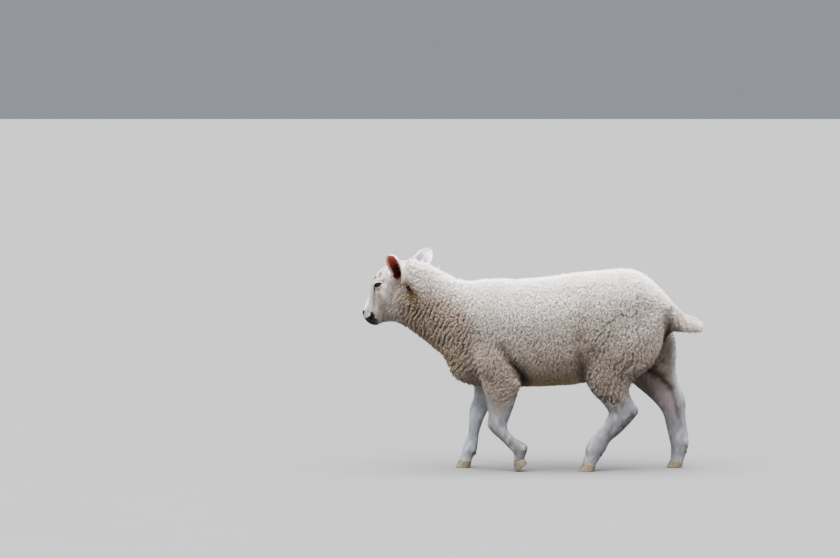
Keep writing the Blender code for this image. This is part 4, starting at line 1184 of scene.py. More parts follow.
def spaced(q, gap):
    """Indices of points no nearer to each other than gap, taken in order."""
    cells, kept = {}, []
    keys = np.floor(q / gap).astype(int)
    own_gap = gap * gap
    listed = q.tolist()
    near = [(i, j, k) for i in (-1, 0, 1) for j in (-1, 0, 1) for k in (-1, 0, 1)]
    for index, (kx, ky, kz) in enumerate(keys.tolist()):
        x, y, z = listed[index]
        clear = True
        for i, j, k in near:
            for other in cells.get((kx + i, ky + j, kz + k), ()):
                ox, oy, oz = listed[other]
                if (ox - x) ** 2 + (oy - y) ** 2 + (oz - z) ** 2 < own_gap:
                    clear = False
                    break
            if not clear:
                break
        if clear:
            cells.setdefault((kx, ky, kz), []).append(index)
            kept.append(index)
    return np.array(kept, int)


def at(values, tris, pick, bary):
    return (values[tris[pick]] * bary[:, :, None]).sum(1)


# ---------------------------------------------------------------- tufts as closed meshes
def build_tufts(name, paths, radii, colours, flats, ways, uv, sides=3):
    """Closed spindles. paths: (count, stations, 3), from the root's point to the tip's; radii, colours: one per station."""
    count, stations = paths.shape[:2]
    angle = np.arange(sides) * 2 * math.pi / sides
    tangent = np.gradient(paths, axis=1)
    tangent /= np.maximum(np.linalg.norm(tangent, axis=2), 1e-6)[:, :, None]
    wide = np.repeat(ways[:, None, :], stations, 1)
    wide = wide - tangent * (wide * tangent).sum(2)[:, :, None]
    wide /= np.maximum(np.linalg.norm(wide, axis=2), 1e-6)[:, :, None]
    high = np.cross(tangent, wide)
    rings = stations - 2
    c, s = np.cos(angle), np.sin(angle)
    ring = (
        paths[:, 1:-1, None, :]
        + wide[:, 1:-1, None, :] * (radii[:, 1:-1, None] * c)[..., None]
        + high[:, 1:-1, None, :] * ((radii[:, 1:-1] * flats[:, None])[:, :, None] * s)[..., None]
    )

    def per_point(values):
        width = values.shape[2]
        middle = np.repeat(values[:, 1:-1, None, :], sides, 2).reshape(count, rings * sides, width)
        return np.concatenate([values[:, :1, :], middle, values[:, -1:, :]], 1)

    per = rings * sides + 2
    points = np.concatenate([paths[:, :1, :], ring.reshape(count, rings * sides, 3), paths[:, -1:, :]], 1).reshape(-1, 3)
    faces = []
    for k in range(sides):
        m = (k + 1) % sides
        faces.append([0, 1 + m, 1 + k])
    for r in range(rings - 1):
        for k in range(sides):
            m = (k + 1) % sides
            faces.append([1 + r * sides + k, 1 + r * sides + m, 1 + (r + 1) * sides + m, 1 + (r + 1) * sides + k])
    for k in range(sides):
        m = (k + 1) % sides
        faces.append([1 + (rings - 1) * sides + k, 1 + (rings - 1) * sides + m, per - 1])
    loops = (np.arange(count)[:, None] * per + np.array([i for f in faces for i in f])[None, :]).ravel().astype(np.int32)
    sizes = np.tile(np.array([len(f) for f in faces], np.int32), count)
    starts = np.concatenate([[0], np.cumsum(sizes)[:-1]]).astype(np.int32)
    mesh = bpy.data.meshes.new(name)
    mesh.vertices.add(len(points))
    mesh.vertices.foreach_set("co", ((points + SHIFT) * MM).astype(np.float32).ravel())
    mesh.loops.add(len(loops))
    mesh.loops.foreach_set("vertex_index", loops)
    mesh.polygons.add(len(sizes))
    mesh.polygons.foreach_set("loop_start", starts)
    mesh.update(calc_edges=True)
    mesh.polygons.foreach_set("use_smooth", np.ones(len(sizes), bool))
    value = per_point(colours).reshape(-1, 3)
    layer = mesh.color_attributes.new("coat", "FLOAT_COLOR", "POINT")
    layer.data.foreach_set("color", np.concatenate([value, np.ones((len(value), 1))], 1).astype(np.float32).ravel())
    lay = mesh.attributes.new("lie", "FLOAT_VECTOR", "POINT")
    lay.data.foreach_set("vector", per_point(tangent).astype(np.float32).ravel())
    gone = np.concatenate([np.zeros((count, 1)), np.cumsum(np.linalg.norm(np.diff(paths, axis=1), axis=2), 1)], 1)
    gone = per_point(gone[:, :, None])[:, :, 0] + (np.arange(count) * 0.37 % 2.0)[:, None]
    run = mesh.attributes.new("run", "FLOAT", "POINT")
    run.data.foreach_set("value", gone.astype(np.float32).ravel())
    du = np.concatenate([[0.0], np.tile(np.linspace(-0.0013, 0.0013, sides), rings), [0.0]])
    dv = np.concatenate([[-0.0015], np.repeat(np.linspace(-0.0008, 0.0006, rings) if rings > 1 else [-0.0001], sides), [0.0015]])
    spots = (uv[:, None, :] + np.stack([du, dv], 1)[None, :, :]).reshape(-1, 2)
    uv_layer = mesh.uv_layers.new(name="OFBake")
    uv_layer.data.foreach_set("uv", spots[loops].astype(np.float32).ravel())
    mesh.validate(clean_customdata=False)
    thing = bpy.data.objects.new(name, mesh)
    bpy.context.scene.collection.objects.link(thing)
    return thing


# ---------------------------------------------------------------- skin numbers
points = coordinates(skin_mesh)
skin_normal = normals(skin_mesh).copy()
skin_tris = triangles_with(skin_mesh)
ear_axis = np.zeros((len(points), 3))
ear_index = np.full(len(points), -1)
ear_inside = np.zeros(len(points))
ear_arc = np.zeros(len(points))
for number, ear in enumerate(EARS):
    shell_points, shell_faces = ear_points(*ear, 2.5, 0.55)
    tree = BVHTree.FromPolygons(shell_points.tolist(), shell_faces)
    box = ((points > shell_points.min(0) - 1) & (points < shell_points.max(0) + 1)).all(1)
    inner_faces = 0
    for i in np.nonzero(box)[0]:
        spot, _, face, distance = tree.find_nearest(Vector(points[i]))
        if distance is not None and distance < 0.06:
            ear_index[i] = number
            corners = shell_faces[face]
            ear_inside[i] = 1.0 if max(corners) < 44 * 29 else 0.0
            ear_arc[i] = math.sin((min(corners) % 29 + 0.5) / 28 * math.pi - math.pi / 2)
    ear_axis[ear_index == number] = np.array(ear[1]) / np.linalg.norm(ear[1])
on_ear = ear_index >= 0
woolly = np.where(on_ear, 0.0, 1 - np.maximum(where_face(points), where_leg(points)))
lie = lie_of(points, skin_normal, ear_axis)
in_cup = np.full(len(points), -1)
for number, ear in enumerate(EARS):
    in_cup[(~on_ear) & in_hollow(points, ear)] = number
toned = np.where(on_ear, 0.0, tone_wool(points))
skin_coat = with_painted_shade(coat_colour(points, toned), skin_normal, toned, points)
for number in (0, 1):
    here = ear_index == number
    skin_coat[here] = ear_colour(points[here], number, ear_inside[here], ear_arc[here])
for number in (0, 1):
    here = in_cup == number
    u, across, up = ear_place(points[here], EARS[number])
    s = np.clip(u, 0, 1)
    width = EARS[number][5] * (0.38 + 0.62 * np.sin(np.minimum(1.0, s / 0.62) * math.pi / 2))
    across = np.arcsin(np.clip(across / width, -1, 1)) / np.radians(118 - 62 * np.minimum(1.0, s / 0.75))
    skin_coat[here] = ear_colour(points[here], number, np.ones(here.sum()), across)
crack = cracks(points)
# under the wool the skin is only seen between the staples; it is painted darker there as shade, and warmer
even = calm_of(points)[:, None]
under = skin_coat * (0.70 + 0.22 * even) * (np.array([1.0, 0.93, 0.85]) + np.array([0.0, 0.04, 0.09]) * even)
skin_shown = skin_coat * (1 - woolly[:, None]) + under * woolly[:, None]
depth_here = coat_depth(points)
h_all = unturned(points)
a_, u_, w_, eye_far = eye_place(h_all)
q_all = h_all.copy()
q_all[:, 1] = np.abs(q_all[:, 1])
eye_clear = np.where((h_all[:, 0] < -340) & (np.hypot(a_, u_) < 26) & (w_ > 0), eye_far, 99)
lip_clear = np.where(h_all[:, 0] < -380, np.minimum(path_distance(q_all, nostril_path(1)), path_distance(q_all, mouth_path(1))), 99)

rng = np.random.default_rng(20260607)

# ---------------------------------------------------------------- fleece
wool_weight = (woolly > 0.12) * (in_cup < 0) * 1.0
pick, bary = scattered(points, skin_tris, wool_weight, 110000, rng)
where = at(points, skin_tris, pick, bary)
field_of = field_weights(where).argmax(0)


def squeezed(p, field):
    """Places with the grain of each field shortened, so that staples are longer along it."""
    q = p.copy()
    for number, (_, (gx, gz), _, long, _) in enumerate(FIELDS):
        here = field == number
        way = np.array([gz, 0, -gx]) / math.hypot(gx, gz)
        q[here] -= way * ((p[here] @ way) * (1 - 1 / long))[:, None]
    q[:, 1] += field * 400.0
    return q


keep = spaced(squeezed(where, field_of), 3.0)
clumps_kept = keep
clump_p = where[keep]
clump_n = at(skin_normal, skin_tris, pick[keep], bary[keep])
clump_n /= np.linalg.norm(clump_n, axis=1)[:, None]
clump_depth = at(depth_here[:, None], skin_tris, pick[keep], bary[keep])[:, 0]
clump_lie = lie_of(clump_p, clump_n, np.zeros_like(clump_p))
clump_crack = cracks(clump_p)
clump_high = clump_depth * (1.04 + (rng.normal(0, 1, len(clump_p)) * (0.06 + 0.07 * step(0.3, 0.9, clump_n[:, 2]))).clip(-0.2, 0.2)) * (0.42 + 0.58 * clump_crack)
clump_lean = clump_depth * (0.42 + 0.25 * calm_of(clump_p) + rng.uniform(-0.15, 0.15, len(clump_p)))
clump_side = np.cross(clump_n, clump_lie)
clump_calm = calm_of(clump_p)
clump_turn = rng.normal(0, 1, len(clump_p)) * 0.22
clump_way = clump_lie * np.cos(clump_turn)[:, None] + clump_side * np.sin(clump_turn)[:, None]
clump_pull = wrinkles(clump_p)[1] * (0.36 * step(480, 420, clump_p[:, 2]))[:, None]
clump_pull -= clump_n * (clump_pull * clump_n).sum(1)[:, None]
clump_tip = clump_p + clump_n * clump_high[:, None] + clump_way * clump_lean[:, None] + clump_pull
print("clumps", len(clump_p))

pick, bary = scattered(points, skin_tris, wool_weight, 300000, rng)
where = at(points, skin_tris, pick, bary)
keep = spaced(where, 1.44)
if len(keep) > 88000:
    keep = keep[:88000]
pick, bary = pick[keep], bary[keep]
root = at(points, skin_tris, pick, bary)
out_way = at(skin_normal, skin_tris, pick, bary)
out_way /= np.linalg.norm(out_way, axis=1)[:, None]
tree = KDTree(len(clump_p))
for i, spot in enumerate(squeezed(clump_p, field_of[clumps_kept]).tolist()):
    tree.insert(spot, i)
tree.balance()
owner = np.array([tree.find(spot)[1] for spot in squeezed(root, field_weights(root).argmax(0)).tolist()])
print("locks", len(root))
n = len(root)
depth = at(depth_here[:, None], skin_tris, pick, bary)[:, 0]
high = clump_high[owner] * (1 + rng.normal(0, 0.08, n).clip(-0.2, 0.12))
own_lie = clump_way[owner]
own_lie = own_lie - out_way * (own_lie * out_way).sum(1)[:, None]
own_tip = root + out_way * high[:, None] + own_lie * clump_lean[owner][:, None]
calm = calm_of(root)
pull = (0.42 + 0.22 * rng.random(n)) * (1 - 0.50 * calm)
own_tip += clump_pull[owner]
tip = own_tip + (clump_tip[owner] - own_tip) * pull[:, None]
stray = rng.normal(0, 1, (n, 3)) * (0.6 * np.clip(depth / 9, 0.2, 1))[:, None]
tip += stray - out_way * (stray * out_way).sum(1)[:, None]
span = tip - root
side = np.cross(out_way, own_lie)
curl = rng.uniform(0, 6.28, n)
curl_size = (0.45 + 0.45 * rng.random(n)) * np.clip(depth / 12, 0.3, 1)


def on_lock(t, bend):
    rise = 1 - max(0.0, 1 - t) ** 1.7
    run = t**1.6
    base = root + out_way * ((span * out_way).sum(1) * rise)[:, None]
    flat = span - out_way * (span * out_way).sum(1)[:, None]
    spin = curl + t * 7.0
    size = curl_size * t ** 0.8 * bend
    return base + flat * run + own_lie * (np.cos(spin) * size)[:, None] + side * (np.sin(spin) * size)[:, None]


paths = np.stack([root - out_way * 1.0, on_lock(0.42, 0.9), on_lock(0.80, 1.2), on_lock(1.08, 0.9)], 1)
thick = (0.80 + 0.08 * calm + 0.25 * rng.random(n)) * np.clip(0.45 + depth / 16, 0.4, 1)
radii = np.stack([thick * 0, thick * 1.15, thick * 0.74, thick * 0], 1)
toned = tone_wool(root)
tip_colour = with_painted_shade(coat_colour(tip, toned), out_way, toned, root)
tone = (1 + rng.normal(0, 0.05, n) + rng.normal(0, 0.075, len(clump_p))[owner])[:, None]
tip_colour = np.clip(tip_colour * tone, 0.004, 0.92)
# each lock darker and warmer towards its root, and darker still in the cracks of the fleece: painted shade, less of it
# where the fleece lies even
deep = tip_colour * (np.array([0.70, 0.63, 0.55]) + np.array([0.24, 0.29, 0.35]) * calm[:, None])
open_ = cracks(root)[:, None]
open_ = open_ + (1 - open_) * 0.25 * calm[:, None]
even = 0.5 * calm[:, None]
colours = np.stack(
    [
        deep,
        tip_colour * (0.40 + 0.48 * open_ + 0.14 * even) * (np.array([1.0, 0.96, 0.91]) + np.array([0, 0.03, 0.06]) * even),
        tip_colour * (0.52 + 0.46 * open_) * (np.array([1.0, 0.985, 0.965]) + np.array([0, 0.01, 0.02]) * even),
        tip_colour * (0.62 + 0.38 * open_),
    ],
    1,
)


# roots sorted into pieces of one part of the body each, with the place of each on an unwrap of that part
def unwrapped(p):
    """(part, along, round) of points: each part of the body as a tube laid open."""
    h = unturned(p)
    part = np.full(len(p), 2)
    along_, angle = p[:, 0].copy(), np.arctan2(p[:, 1], p[:, 2] - 350)
    neck = p[:, 0] < -165
    part[neck] = 1
    along_[neck] = (p[neck, 0] - p[neck, 2] * 0.75)
    angle[neck] = np.arctan2(p[neck, 1], (p[neck, 2] - 400) * 0.66 + (p[neck, 0] + 250) * 0.66)
    leg = p[:, 2] < 225
    near, fore = p[:, 1] < 0, p[:, 0] < 60
    for number, mask, cx in ((4, near & fore, -60), (5, ~near & fore, -125), (6, near & ~fore, 215), (7, ~near & ~fore, 330)):
        m = leg & mask
        part[m] = number
        along_[m] = p[m, 2]
        angle[m] = np.arctan2(p[m, 1] - (-50 if number in (4, 6) else 50), p[m, 0] - cx)
    tail = (p[:, 0] > 360) & (p[:, 2] > 300)
    part[tail] = 8
    along_[tail] = p[tail, 0]
    angle[tail] = np.arctan2(p[tail, 1], p[tail, 2] - 335)
    head = (h[:, 0] < -318) & (p[:, 2] > 350)
    part[head] = 0
    along_[head] = h[head, 0]
    angle[head] = np.arctan2(h[head, 1], h[head, 2] - 430)
    return part, along_, angle


def pieces_of(p, most):
    """Lists of indices, each under most long, and each a compact part of the coat."""
    part, along_, angle = unwrapped(p)
    groups = []
    for name, members in (("head", (0,)), ("neck", (1,)), ("trunk", (2,)), ("legs", (4, 5, 6, 7)), ("tail", (8,))):
        index = np.nonzero(np.isin(part, members))[0]
        if len(index) == 0:
            continue
        pieces = int(math.ceil(len(index) / most))
        order = index[np.argsort(along_[index] + (part[index] * 1000 if name == "legs" else 0), kind="stable")]
        for i, chunk in enumerate(np.array_split(order, pieces)):
            groups.append((name + (f"_{i + 1}" if pieces > 1 else ""), chunk))
    return groups


def unwrap_uv(p):
    part, along_, angle = unwrapped(p)
    u = (angle / (2 * math.pi) + 0.5) * 0.984 + 0.008
    span_ = max(along_.max() - along_.min(), 1.0)
    v = (along_ - along_.min()) / span_
    parts = sorted(set(part.tolist()))
    for number in parts:
        m = part == number
        low, size = along_[m].min(), max(along_[m].max() - along_[m].min(), 1.0)
        v[m] = (along_[m] - low) / size
    if len(parts) > 1:
        for i, number in enumerate(parts):
            m = part == number
            u[m] = (i + u[m]) / len(parts)
    return np.stack([np.clip(u, 0.006, 0.994), 0.008 + 0.984 * v], 1)


coat_pieces = []
clear = ~np.any([in_hollow(spots, ear, 0.5) for ear in EARS for spots in (paths[:, 1], paths[:, 2], paths[:, 3])], 0)
# fine wisps that stand off the fleece, so that its outline is soft
wisp = np.nonzero(clear & (depth > 3.0) & (root[:, 2] > 120))[0]
wisp = wisp[np.argsort(rng.random(len(wisp)) ** (1 / (1 + 2.0 * step(0.2, 0.8, out_way[wisp, 2]))), kind="stable")[::-1]][:24000]
m = len(wisp)
start = paths[wisp, 2]
stray = rng.normal(0, 1, (m, 3))
stray -= out_way[wisp] * (stray * out_way[wisp]).sum(1)[:, None]
reach = rng.uniform(1.6, 3.4, m) * np.clip(depth[wisp] / 9, 0.45, 1)
reach *= 1 + step(0.3, 0.8, out_way[wisp, 2]) * (0.4 + 0.7 * step(-150, -200, root[wisp, 0]) * (rng.random(m) > 0.5))
wisp_paths = np.stack(
    [
        start,
        start + (tip[wisp] - start) * 0.7 + out_way[wisp] * (reach * 0.55)[:, None] + stray * 0.5,
        tip[wisp] + out_way[wisp] * reach[:, None] + own_lie[wisp] * 1.0 + stray * 1.2,
    ],
    1,
)
wisp_colours = np.stack([tip_colour[wisp] * 0.95, np.clip(tip_colour[wisp] * 1.06, 0, 0.95), np.clip(tip_colour[wisp] * 1.12, 0, 0.96)], 1)
wisp_radii = np.tile([0.0, 0.34, 0.0], (m, 1))
for label, chosen in pieces_of(root[wisp], 32000):
    coat_pieces.append(
        build_tufts(
            "wool_wisps_" + label,
            wisp_paths[chosen],
            wisp_radii[chosen],
            wisp_colours[chosen],
            np.full(len(chosen), 0.9),
            side[wisp][chosen],
            unwrap_uv(root[wisp][chosen]),
        )
    )
# stout tufts that break the outline on the poll and the crest, and more weakly on the back, the throat and the breast
nx, nz = clump_n[:, 0], clump_n[:, 2]
cx, cz = clump_p[:, 0], clump_p[:, 2]
crest = step(0.30, 0.65, nz) * step(-120, -180, cx)
poll = step(0.25, 0.55, nz) * step(-278, -290, cx)
odds = np.maximum(np.maximum(crest * 0.7, poll * 0.95), step(0.35, 0.7, nz) * (cx > -150) * (cz > 380) * 0.38)
odds = np.maximum(odds, (cx > 358) * (cz > 300) * 0.5)
odds = np.maximum(odds, step(-0.2, -0.6, nx) * (cx < -150) * (cz < 400) * 0.35)
odds = np.maximum(odds, step(0.25, 0.6, nx) * (cx > 330) * (cz < 330) * (clump_p[:, 1] > 10) * 0.9)
inside_ear = np.any([in_hollow(clump_p + clump_n * 6, ear, 3.0) for ear in EARS], 0)
spike = np.nonzero((rng.random(len(clump_p)) < odds) & ~inside_ear)[0]
m = len(spike)
long = (2.4 + 3.6 * crest[spike] * rng.random(m) + 1.4 * rng.random(m)) * np.clip(clump_depth[spike] / 9, 0.5, 1)
long += poll[spike] * rng.uniform(2.0, 6.5, m)
fall = rng.normal(0, 0.35, (m, 3)) + clump_way[spike] * 0.35
base_at = clump_p[spike] + clump_n[spike] * (clump_high[spike] * 0.45)[:, None]
top_at = clump_tip[spike] + clump_n[spike] * long[:, None] + fall * long[:, None]
spike_paths = np.stack([base_at, base_at + (clump_tip[spike] - base_at) * 0.6, clump_tip[spike] + (top_at - clump_tip[spike]) * 0.35, top_at], 1)
spike_thick = rng.uniform(0.85, 1.3, m) * (1 + 0.3 * crest[spike] + 0.3 * poll[spike])
spike_toned = tone_wool(clump_p[spike])
spike_colour = with_painted_shade(coat_colour(clump_p[spike], spike_toned), clump_n[spike], spike_toned, clump_p[spike])
spike_colour = np.clip(spike_colour * (1.04 + rng.normal(0, 0.05, m))[:, None], 0.004, 0.94)
coat_pieces.append(
    build_tufts(
        "wool_tufts",
        spike_paths,
        np.stack([spike_thick * 0, spike_thick * 1.1, spike_thick * 0.7, spike_thick * 0], 1),
        np.stack([spike_colour * 0.8, spike_colour * 0.92, spike_colour, np.clip(spike_colour * 1.05, 0, 0.95)], 1),
        np.full(m, 0.85),
        clump_side[spike],
        unwrap_uv(clump_p[spike]),
    )
)
print("tufts", m)
kept = np.nonzero(clear)[0]
root, paths, radii, colours, side = root[kept], paths[kept], radii[kept], colours[kept], side[kept]
for label, chosen in pieces_of(root, 16400):
    coat_pieces.append(
        build_tufts(
            "wool_" + label, paths[chosen], radii[chosen], colours[chosen], np.full(len(chosen), 0.85), side[chosen], unwrap_uv(root[chosen])
        )
    )

# ---------------------------------------------------------------- short hair
rim = np.zeros(len(points))
for number, ear in enumerate(EARS):
    u, across, up = ear_place(points, ear)
    rim = np.maximum(rim, (ear_index == number) * np.maximum(step(0.86, 0.97, np.abs(ear_arc)), step(0.90, 0.97, u)))
hair_weight = np.where(on_ear, np.where(ear_inside > 0.5, rim * 1.5, 1.6), (woolly < 0.85) * 1.0)
hair_weight *= (in_cup < 0)
tear_clear = np.where((h_all[:, 0] < -380) & (h_all[:, 0] > -396) & (np.abs(h_all[:, 1]) > 14), line_distance(h_all, -386.8, 462, -388.6, 446), 99)
hair_weight *= (eye_clear > 2.4) & (lip_clear > 3.0) & (tear_clear > 2.0)
pick, bary = scattered(points, skin_tris, hair_weight, 150000, rng)
where = at(points, skin_tris, pick, bary)
keep = spaced(where, 1.28)
if len(keep) > 45000:
    keep = keep[:45000]
pick, bary = pick[keep], bary[keep]
print("short tufts", len(keep))
root = at(points, skin_tris, pick, bary)
out_way = at(skin_normal, skin_tris, pick, bary)
out_way /= np.linalg.norm(out_way, axis=1)[:, None]
axis_here = at(ear_axis, skin_tris, pick, bary)
axis_here /= np.maximum(np.linalg.norm(axis_here, axis=1), 1e-6)[:, None] + (np.linalg.norm(axis_here, axis=1) < 0.3)[:, None] * 1e6
own_lie = lie_of(root, out_way, axis_here)
n = len(root)
side = np.cross(out_way, own_lie)
swing = rng.normal(0, 0.22, n) + 0.35 * waves(root, 22, 31)
own_lie, side = own_lie * np.cos(swing)[:, None] + side * np.sin(swing)[:, None], side * np.cos(swing)[:, None] - own_lie * np.sin(swing)[:, None]
h_root = unturned(root)
a_, u_, w_, near_eye = eye_place(h_root)
size = np.full(n, 5.4)
is_face = (h_root[:, 0] < -335) & (root[:, 2] > 345)
size = np.where(is_face, 2.6 + 2.8 * step(-425, -375, h_root[:, 0]), size)
size = np.where(is_face & (np.hypot(a_, u_) < 22), np.minimum(size, 2.6), size)
ear_here = np.linalg.norm(axis_here, axis=1) > 0.5
size = np.where(ear_here, 3.6, size)
size = np.where(root[:, 2] < 30, 3.2, size) * rng.uniform(0.8, 1.2, n)
near_wool = at(woolly[:, None], skin_tris, pick, bary)[:, 0]
lift = 0.10 + 0.55 * near_wool + rng.uniform(0, 0.08, n)
lift = np.where(ear_here, 0.12 + rng.uniform(0, 0.08, n), lift)
paths = np.stack(
    [
        root - out_way * 0.5,
        root + own_lie * (size * 0.45)[:, None] + out_way * (size * lift * 0.62 + 0.25)[:, None],
        root + own_lie * (size * (1 - 0.3 * near_wool))[:, None] + out_way * (size * lift * 0.85 + 0.15)[:, None],
    ],
    1,
)
thick = 0.20 + 0.075 * size
radii = np.stack([thick * 0, thick, thick * 0], 1)
clear = ~np.any([in_hollow(spots, ear) for ear in EARS for spots in (paths[:, 1], paths[:, 2])], 0) | ear_here
toned = tone_wool(root)
body_colour = with_painted_shade(coat_colour(root, toned), out_way, toned, root)
ear_number = np.round(at((ear_index[:, None] == 1) * 1.0, skin_tris, pick, bary)[:, 0]).astype(int)
for number in (0, 1):
    here = ear_here & (ear_number == number)
    body_colour[here] = ear_colour(root[here], number, np.zeros(here.sum()), np.zeros(here.sum()))
tone = (1 + rng.normal(0, 1, n) * 0.075)[:, None]
body_colour = np.clip(body_colour * np.clip(tone, 0.6, 1.4), 0.004, 0.94)
colours = np.stack([body_colour * 0.86, body_colour * 0.97, body_colour], 1)
kept = np.nonzero(clear)[0]
root, paths, radii, colours, side = root[kept], paths[kept], radii[kept], colours[kept], side[kept]
for label, chosen in pieces_of(root, 32000):
    coat_pieces.append(
        build_tufts(
            "hair_" + label, paths[chosen], radii[chosen], colours[chosen], np.full(len(chosen), 0.55), side[chosen], unwrap_uv(root[chosen])
        )
    )


# ---------------------------------------------------------------- the skin as a piece
def coloured(mesh, colours, name="coat"):
    layer = mesh.color_attributes.new(name, "FLOAT_COLOR", "POINT")
    layer.data.foreach_set("color", np.concatenate([colours, np.ones((len(colours), 1))], 1).astype(np.float32).ravel())


coloured(skin_mesh, skin_shown)
way = skin_mesh.attributes.new("lie", "FLOAT_VECTOR", "POINT")
way.data.foreach_set("vector", lie.astype(np.float32).ravel())
soft = skin_mesh.attributes.new("bare", "FLOAT", "POINT")
soft.data.foreach_set("value", (1 - woolly).astype(np.float32))
set_coordinates(skin_mesh, (points + SHIFT) * MM)
skin_mesh.polygons.foreach_set("use_smooth", np.ones(len(skin_mesh.polygons), bool))
skin_mesh.name = "skin"
skin_mesh.materials.clear()
skin_mesh.polygons.foreach_set("material_index", np.zeros(len(skin_mesh.polygons), np.int32))
skin = bpy.data.objects.new("skin", skin_mesh)
bpy.context.scene.collection.objects.link(skin)


# ---------------------------------------------------------------- eyes
def eye_piece(side, name):
    """A ball of rings round its own axis, close together where the iris and the pupil are."""
    axis, front, up = EYE_AXIS.copy(), EYE_ALONG.copy(), EYE_UP.copy()
    for v in (axis, front, up):
        v[1] *= side
    axis, front, up = turned_way([axis, front, up])
    centre = turned([(EYE_AT[0], side * EYE_AT[1], EYE_AT[2])])[0]
    segments, polar = 72, np.concatenate([np.linspace(0.03, 0.75, 26), np.linspace(0.82, 3.05, 22)])
    verts, colours = [centre + axis * EYE_R], [shade(6, 5, 6)]
    for theta in polar:
        for k in range(segments):
            phi = 2 * math.pi * k / segments
            bulge = 0.55 * math.exp(-((theta / 0.42) ** 2)) - 0.1
            verts.append(
                centre
                + (EYE_R - 0.45 + bulge) * (axis * math.cos(theta) + (front * math.cos(phi) + up * math.sin(phi)) * math.sin(theta))
            )
            a, u = EYE_R * math.sin(theta) * math.cos(phi), EYE_R * math.sin(theta) * math.sin(phi)
            r = math.hypot(a, u)
            streak = 0.5 + 0.5 * math.sin(phi * 23 + 3 * math.sin(phi * 7))
            iris = shade(27, 19, 15) * (0.65 + 0.5 * streak)
            pupil = (abs(a) / 3.6) ** 3 + (abs(u) / 1.7) ** 3
            colour = iris + (shade(5, 4, 5) - iris) * float(step(1.5, 0.8, np.array(pupil)))
            edge = float(step(6.0, 7.2, np.array(r)))
            colour = colour + (shade(16, 12, 12) - colour) * edge
            white = float(step(9.0, 10.4, np.array(r)))
            colour = colour + (shade(74, 58, 54) - colour) * white
            colours.append(colour)
    verts.append(centre - axis * (EYE_R - 0.55))
    colours.append(shade(120, 96, 88))
    faces = [[0, 1 + k, 1 + (k + 1) % segments] for k in range(segments)]
    for r in range(len(polar) - 1):
        for k in range(segments):
            i, j = 1 + r * segments + k, 1 + r * segments + (k + 1) % segments
            faces.append([i, i + segments, j + segments, j])
    last, base = len(verts) - 1, 1 + (len(polar) - 1) * segments
    faces += [[base + k, last, base + (k + 1) % segments] for k in range(segments)]
    mesh = mesh_of((np.array(verts) + SHIFT) * MM, faces, name)
    coloured(mesh, np.array(colours))
    mesh.polygons.foreach_set("use_smooth", np.ones(len(mesh.polygons), bool))
    thing = bpy.data.objects.new(name, mesh)
    bpy.context.scene.collection.objects.link(thing)
    return thing


eyes = {"eye_left": eye_piece(-1, "eyeball_left"), "eye_right": eye_piece(1, "eyeball_right")}

# ---------------------------------------------------------------- claws
claws = {}
for limb in ("foreleg", "hindleg"):
    for side_name in ("left", "right"):
        for place in ("lateral", "medial"):
            node = f"claw_{limb}_{side_name}_{place}"
            low, high_ = (np.array(v) * 1000 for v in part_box(node))
            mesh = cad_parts[node].data.copy()
            mesh.transform(Matrix.Scale(1000, 4))
            mesh = applied(mesh, "REMESH", mode="VOXEL", voxel_size=0.95, adaptivity=0.0)
            p, e = coordinates(mesh), edges_of(mesh)
            p = smoothed(p, e, 10, 1.0, shrink=False)
            flat = step(1.6, 0.4, p[:, 2] - low[2])
            eased_p = smoothed(p, e, 5, 1.0)
            p = eased_p
            set_coordinates(mesh, p)
            n_ = normals(mesh).copy()
            rings = np.sin((p[:, 2] - low[2]) * 2 * math.pi / 2.6 + 0.6 * waves(p, 12, 40)) * 0.13
            p = p + n_ * (rings * step(3, 6, p[:, 2] - low[2]) + 0.12 * waves(p, 5, 41))[:, None]
            p[:, 2] = np.maximum(p[:, 2], low[2])
            p = np.minimum(np.maximum(p, low), high_)
            set_coordinates(mesh, p)
            horn = np.tile(shade(92, 80, 66), (len(p), 1))
            horn = mixed(horn, shade(52, 43, 35), step(0.0, 1.0, waves(p, 9, 42)) * 0.7)
            horn = mixed(horn, shade(124, 108, 84), step(8, 1, p[:, 2] - low[2]) * 0.5)
            horn = mixed(horn, shade(92, 78, 60), np.clip(rings * 3, 0, 1))
            coloured(mesh, horn)
            set_coordinates(mesh, p * MM)
            mesh.polygons.foreach_set("use_smooth", np.ones(len(mesh.polygons), bool))
            mesh.materials.clear()
            thing = bpy.data.objects.new(f"horn_{limb}_{side_name}_{place}", mesh)
            bpy.context.scene.collection.objects.link(thing)
            claws[node] = thing


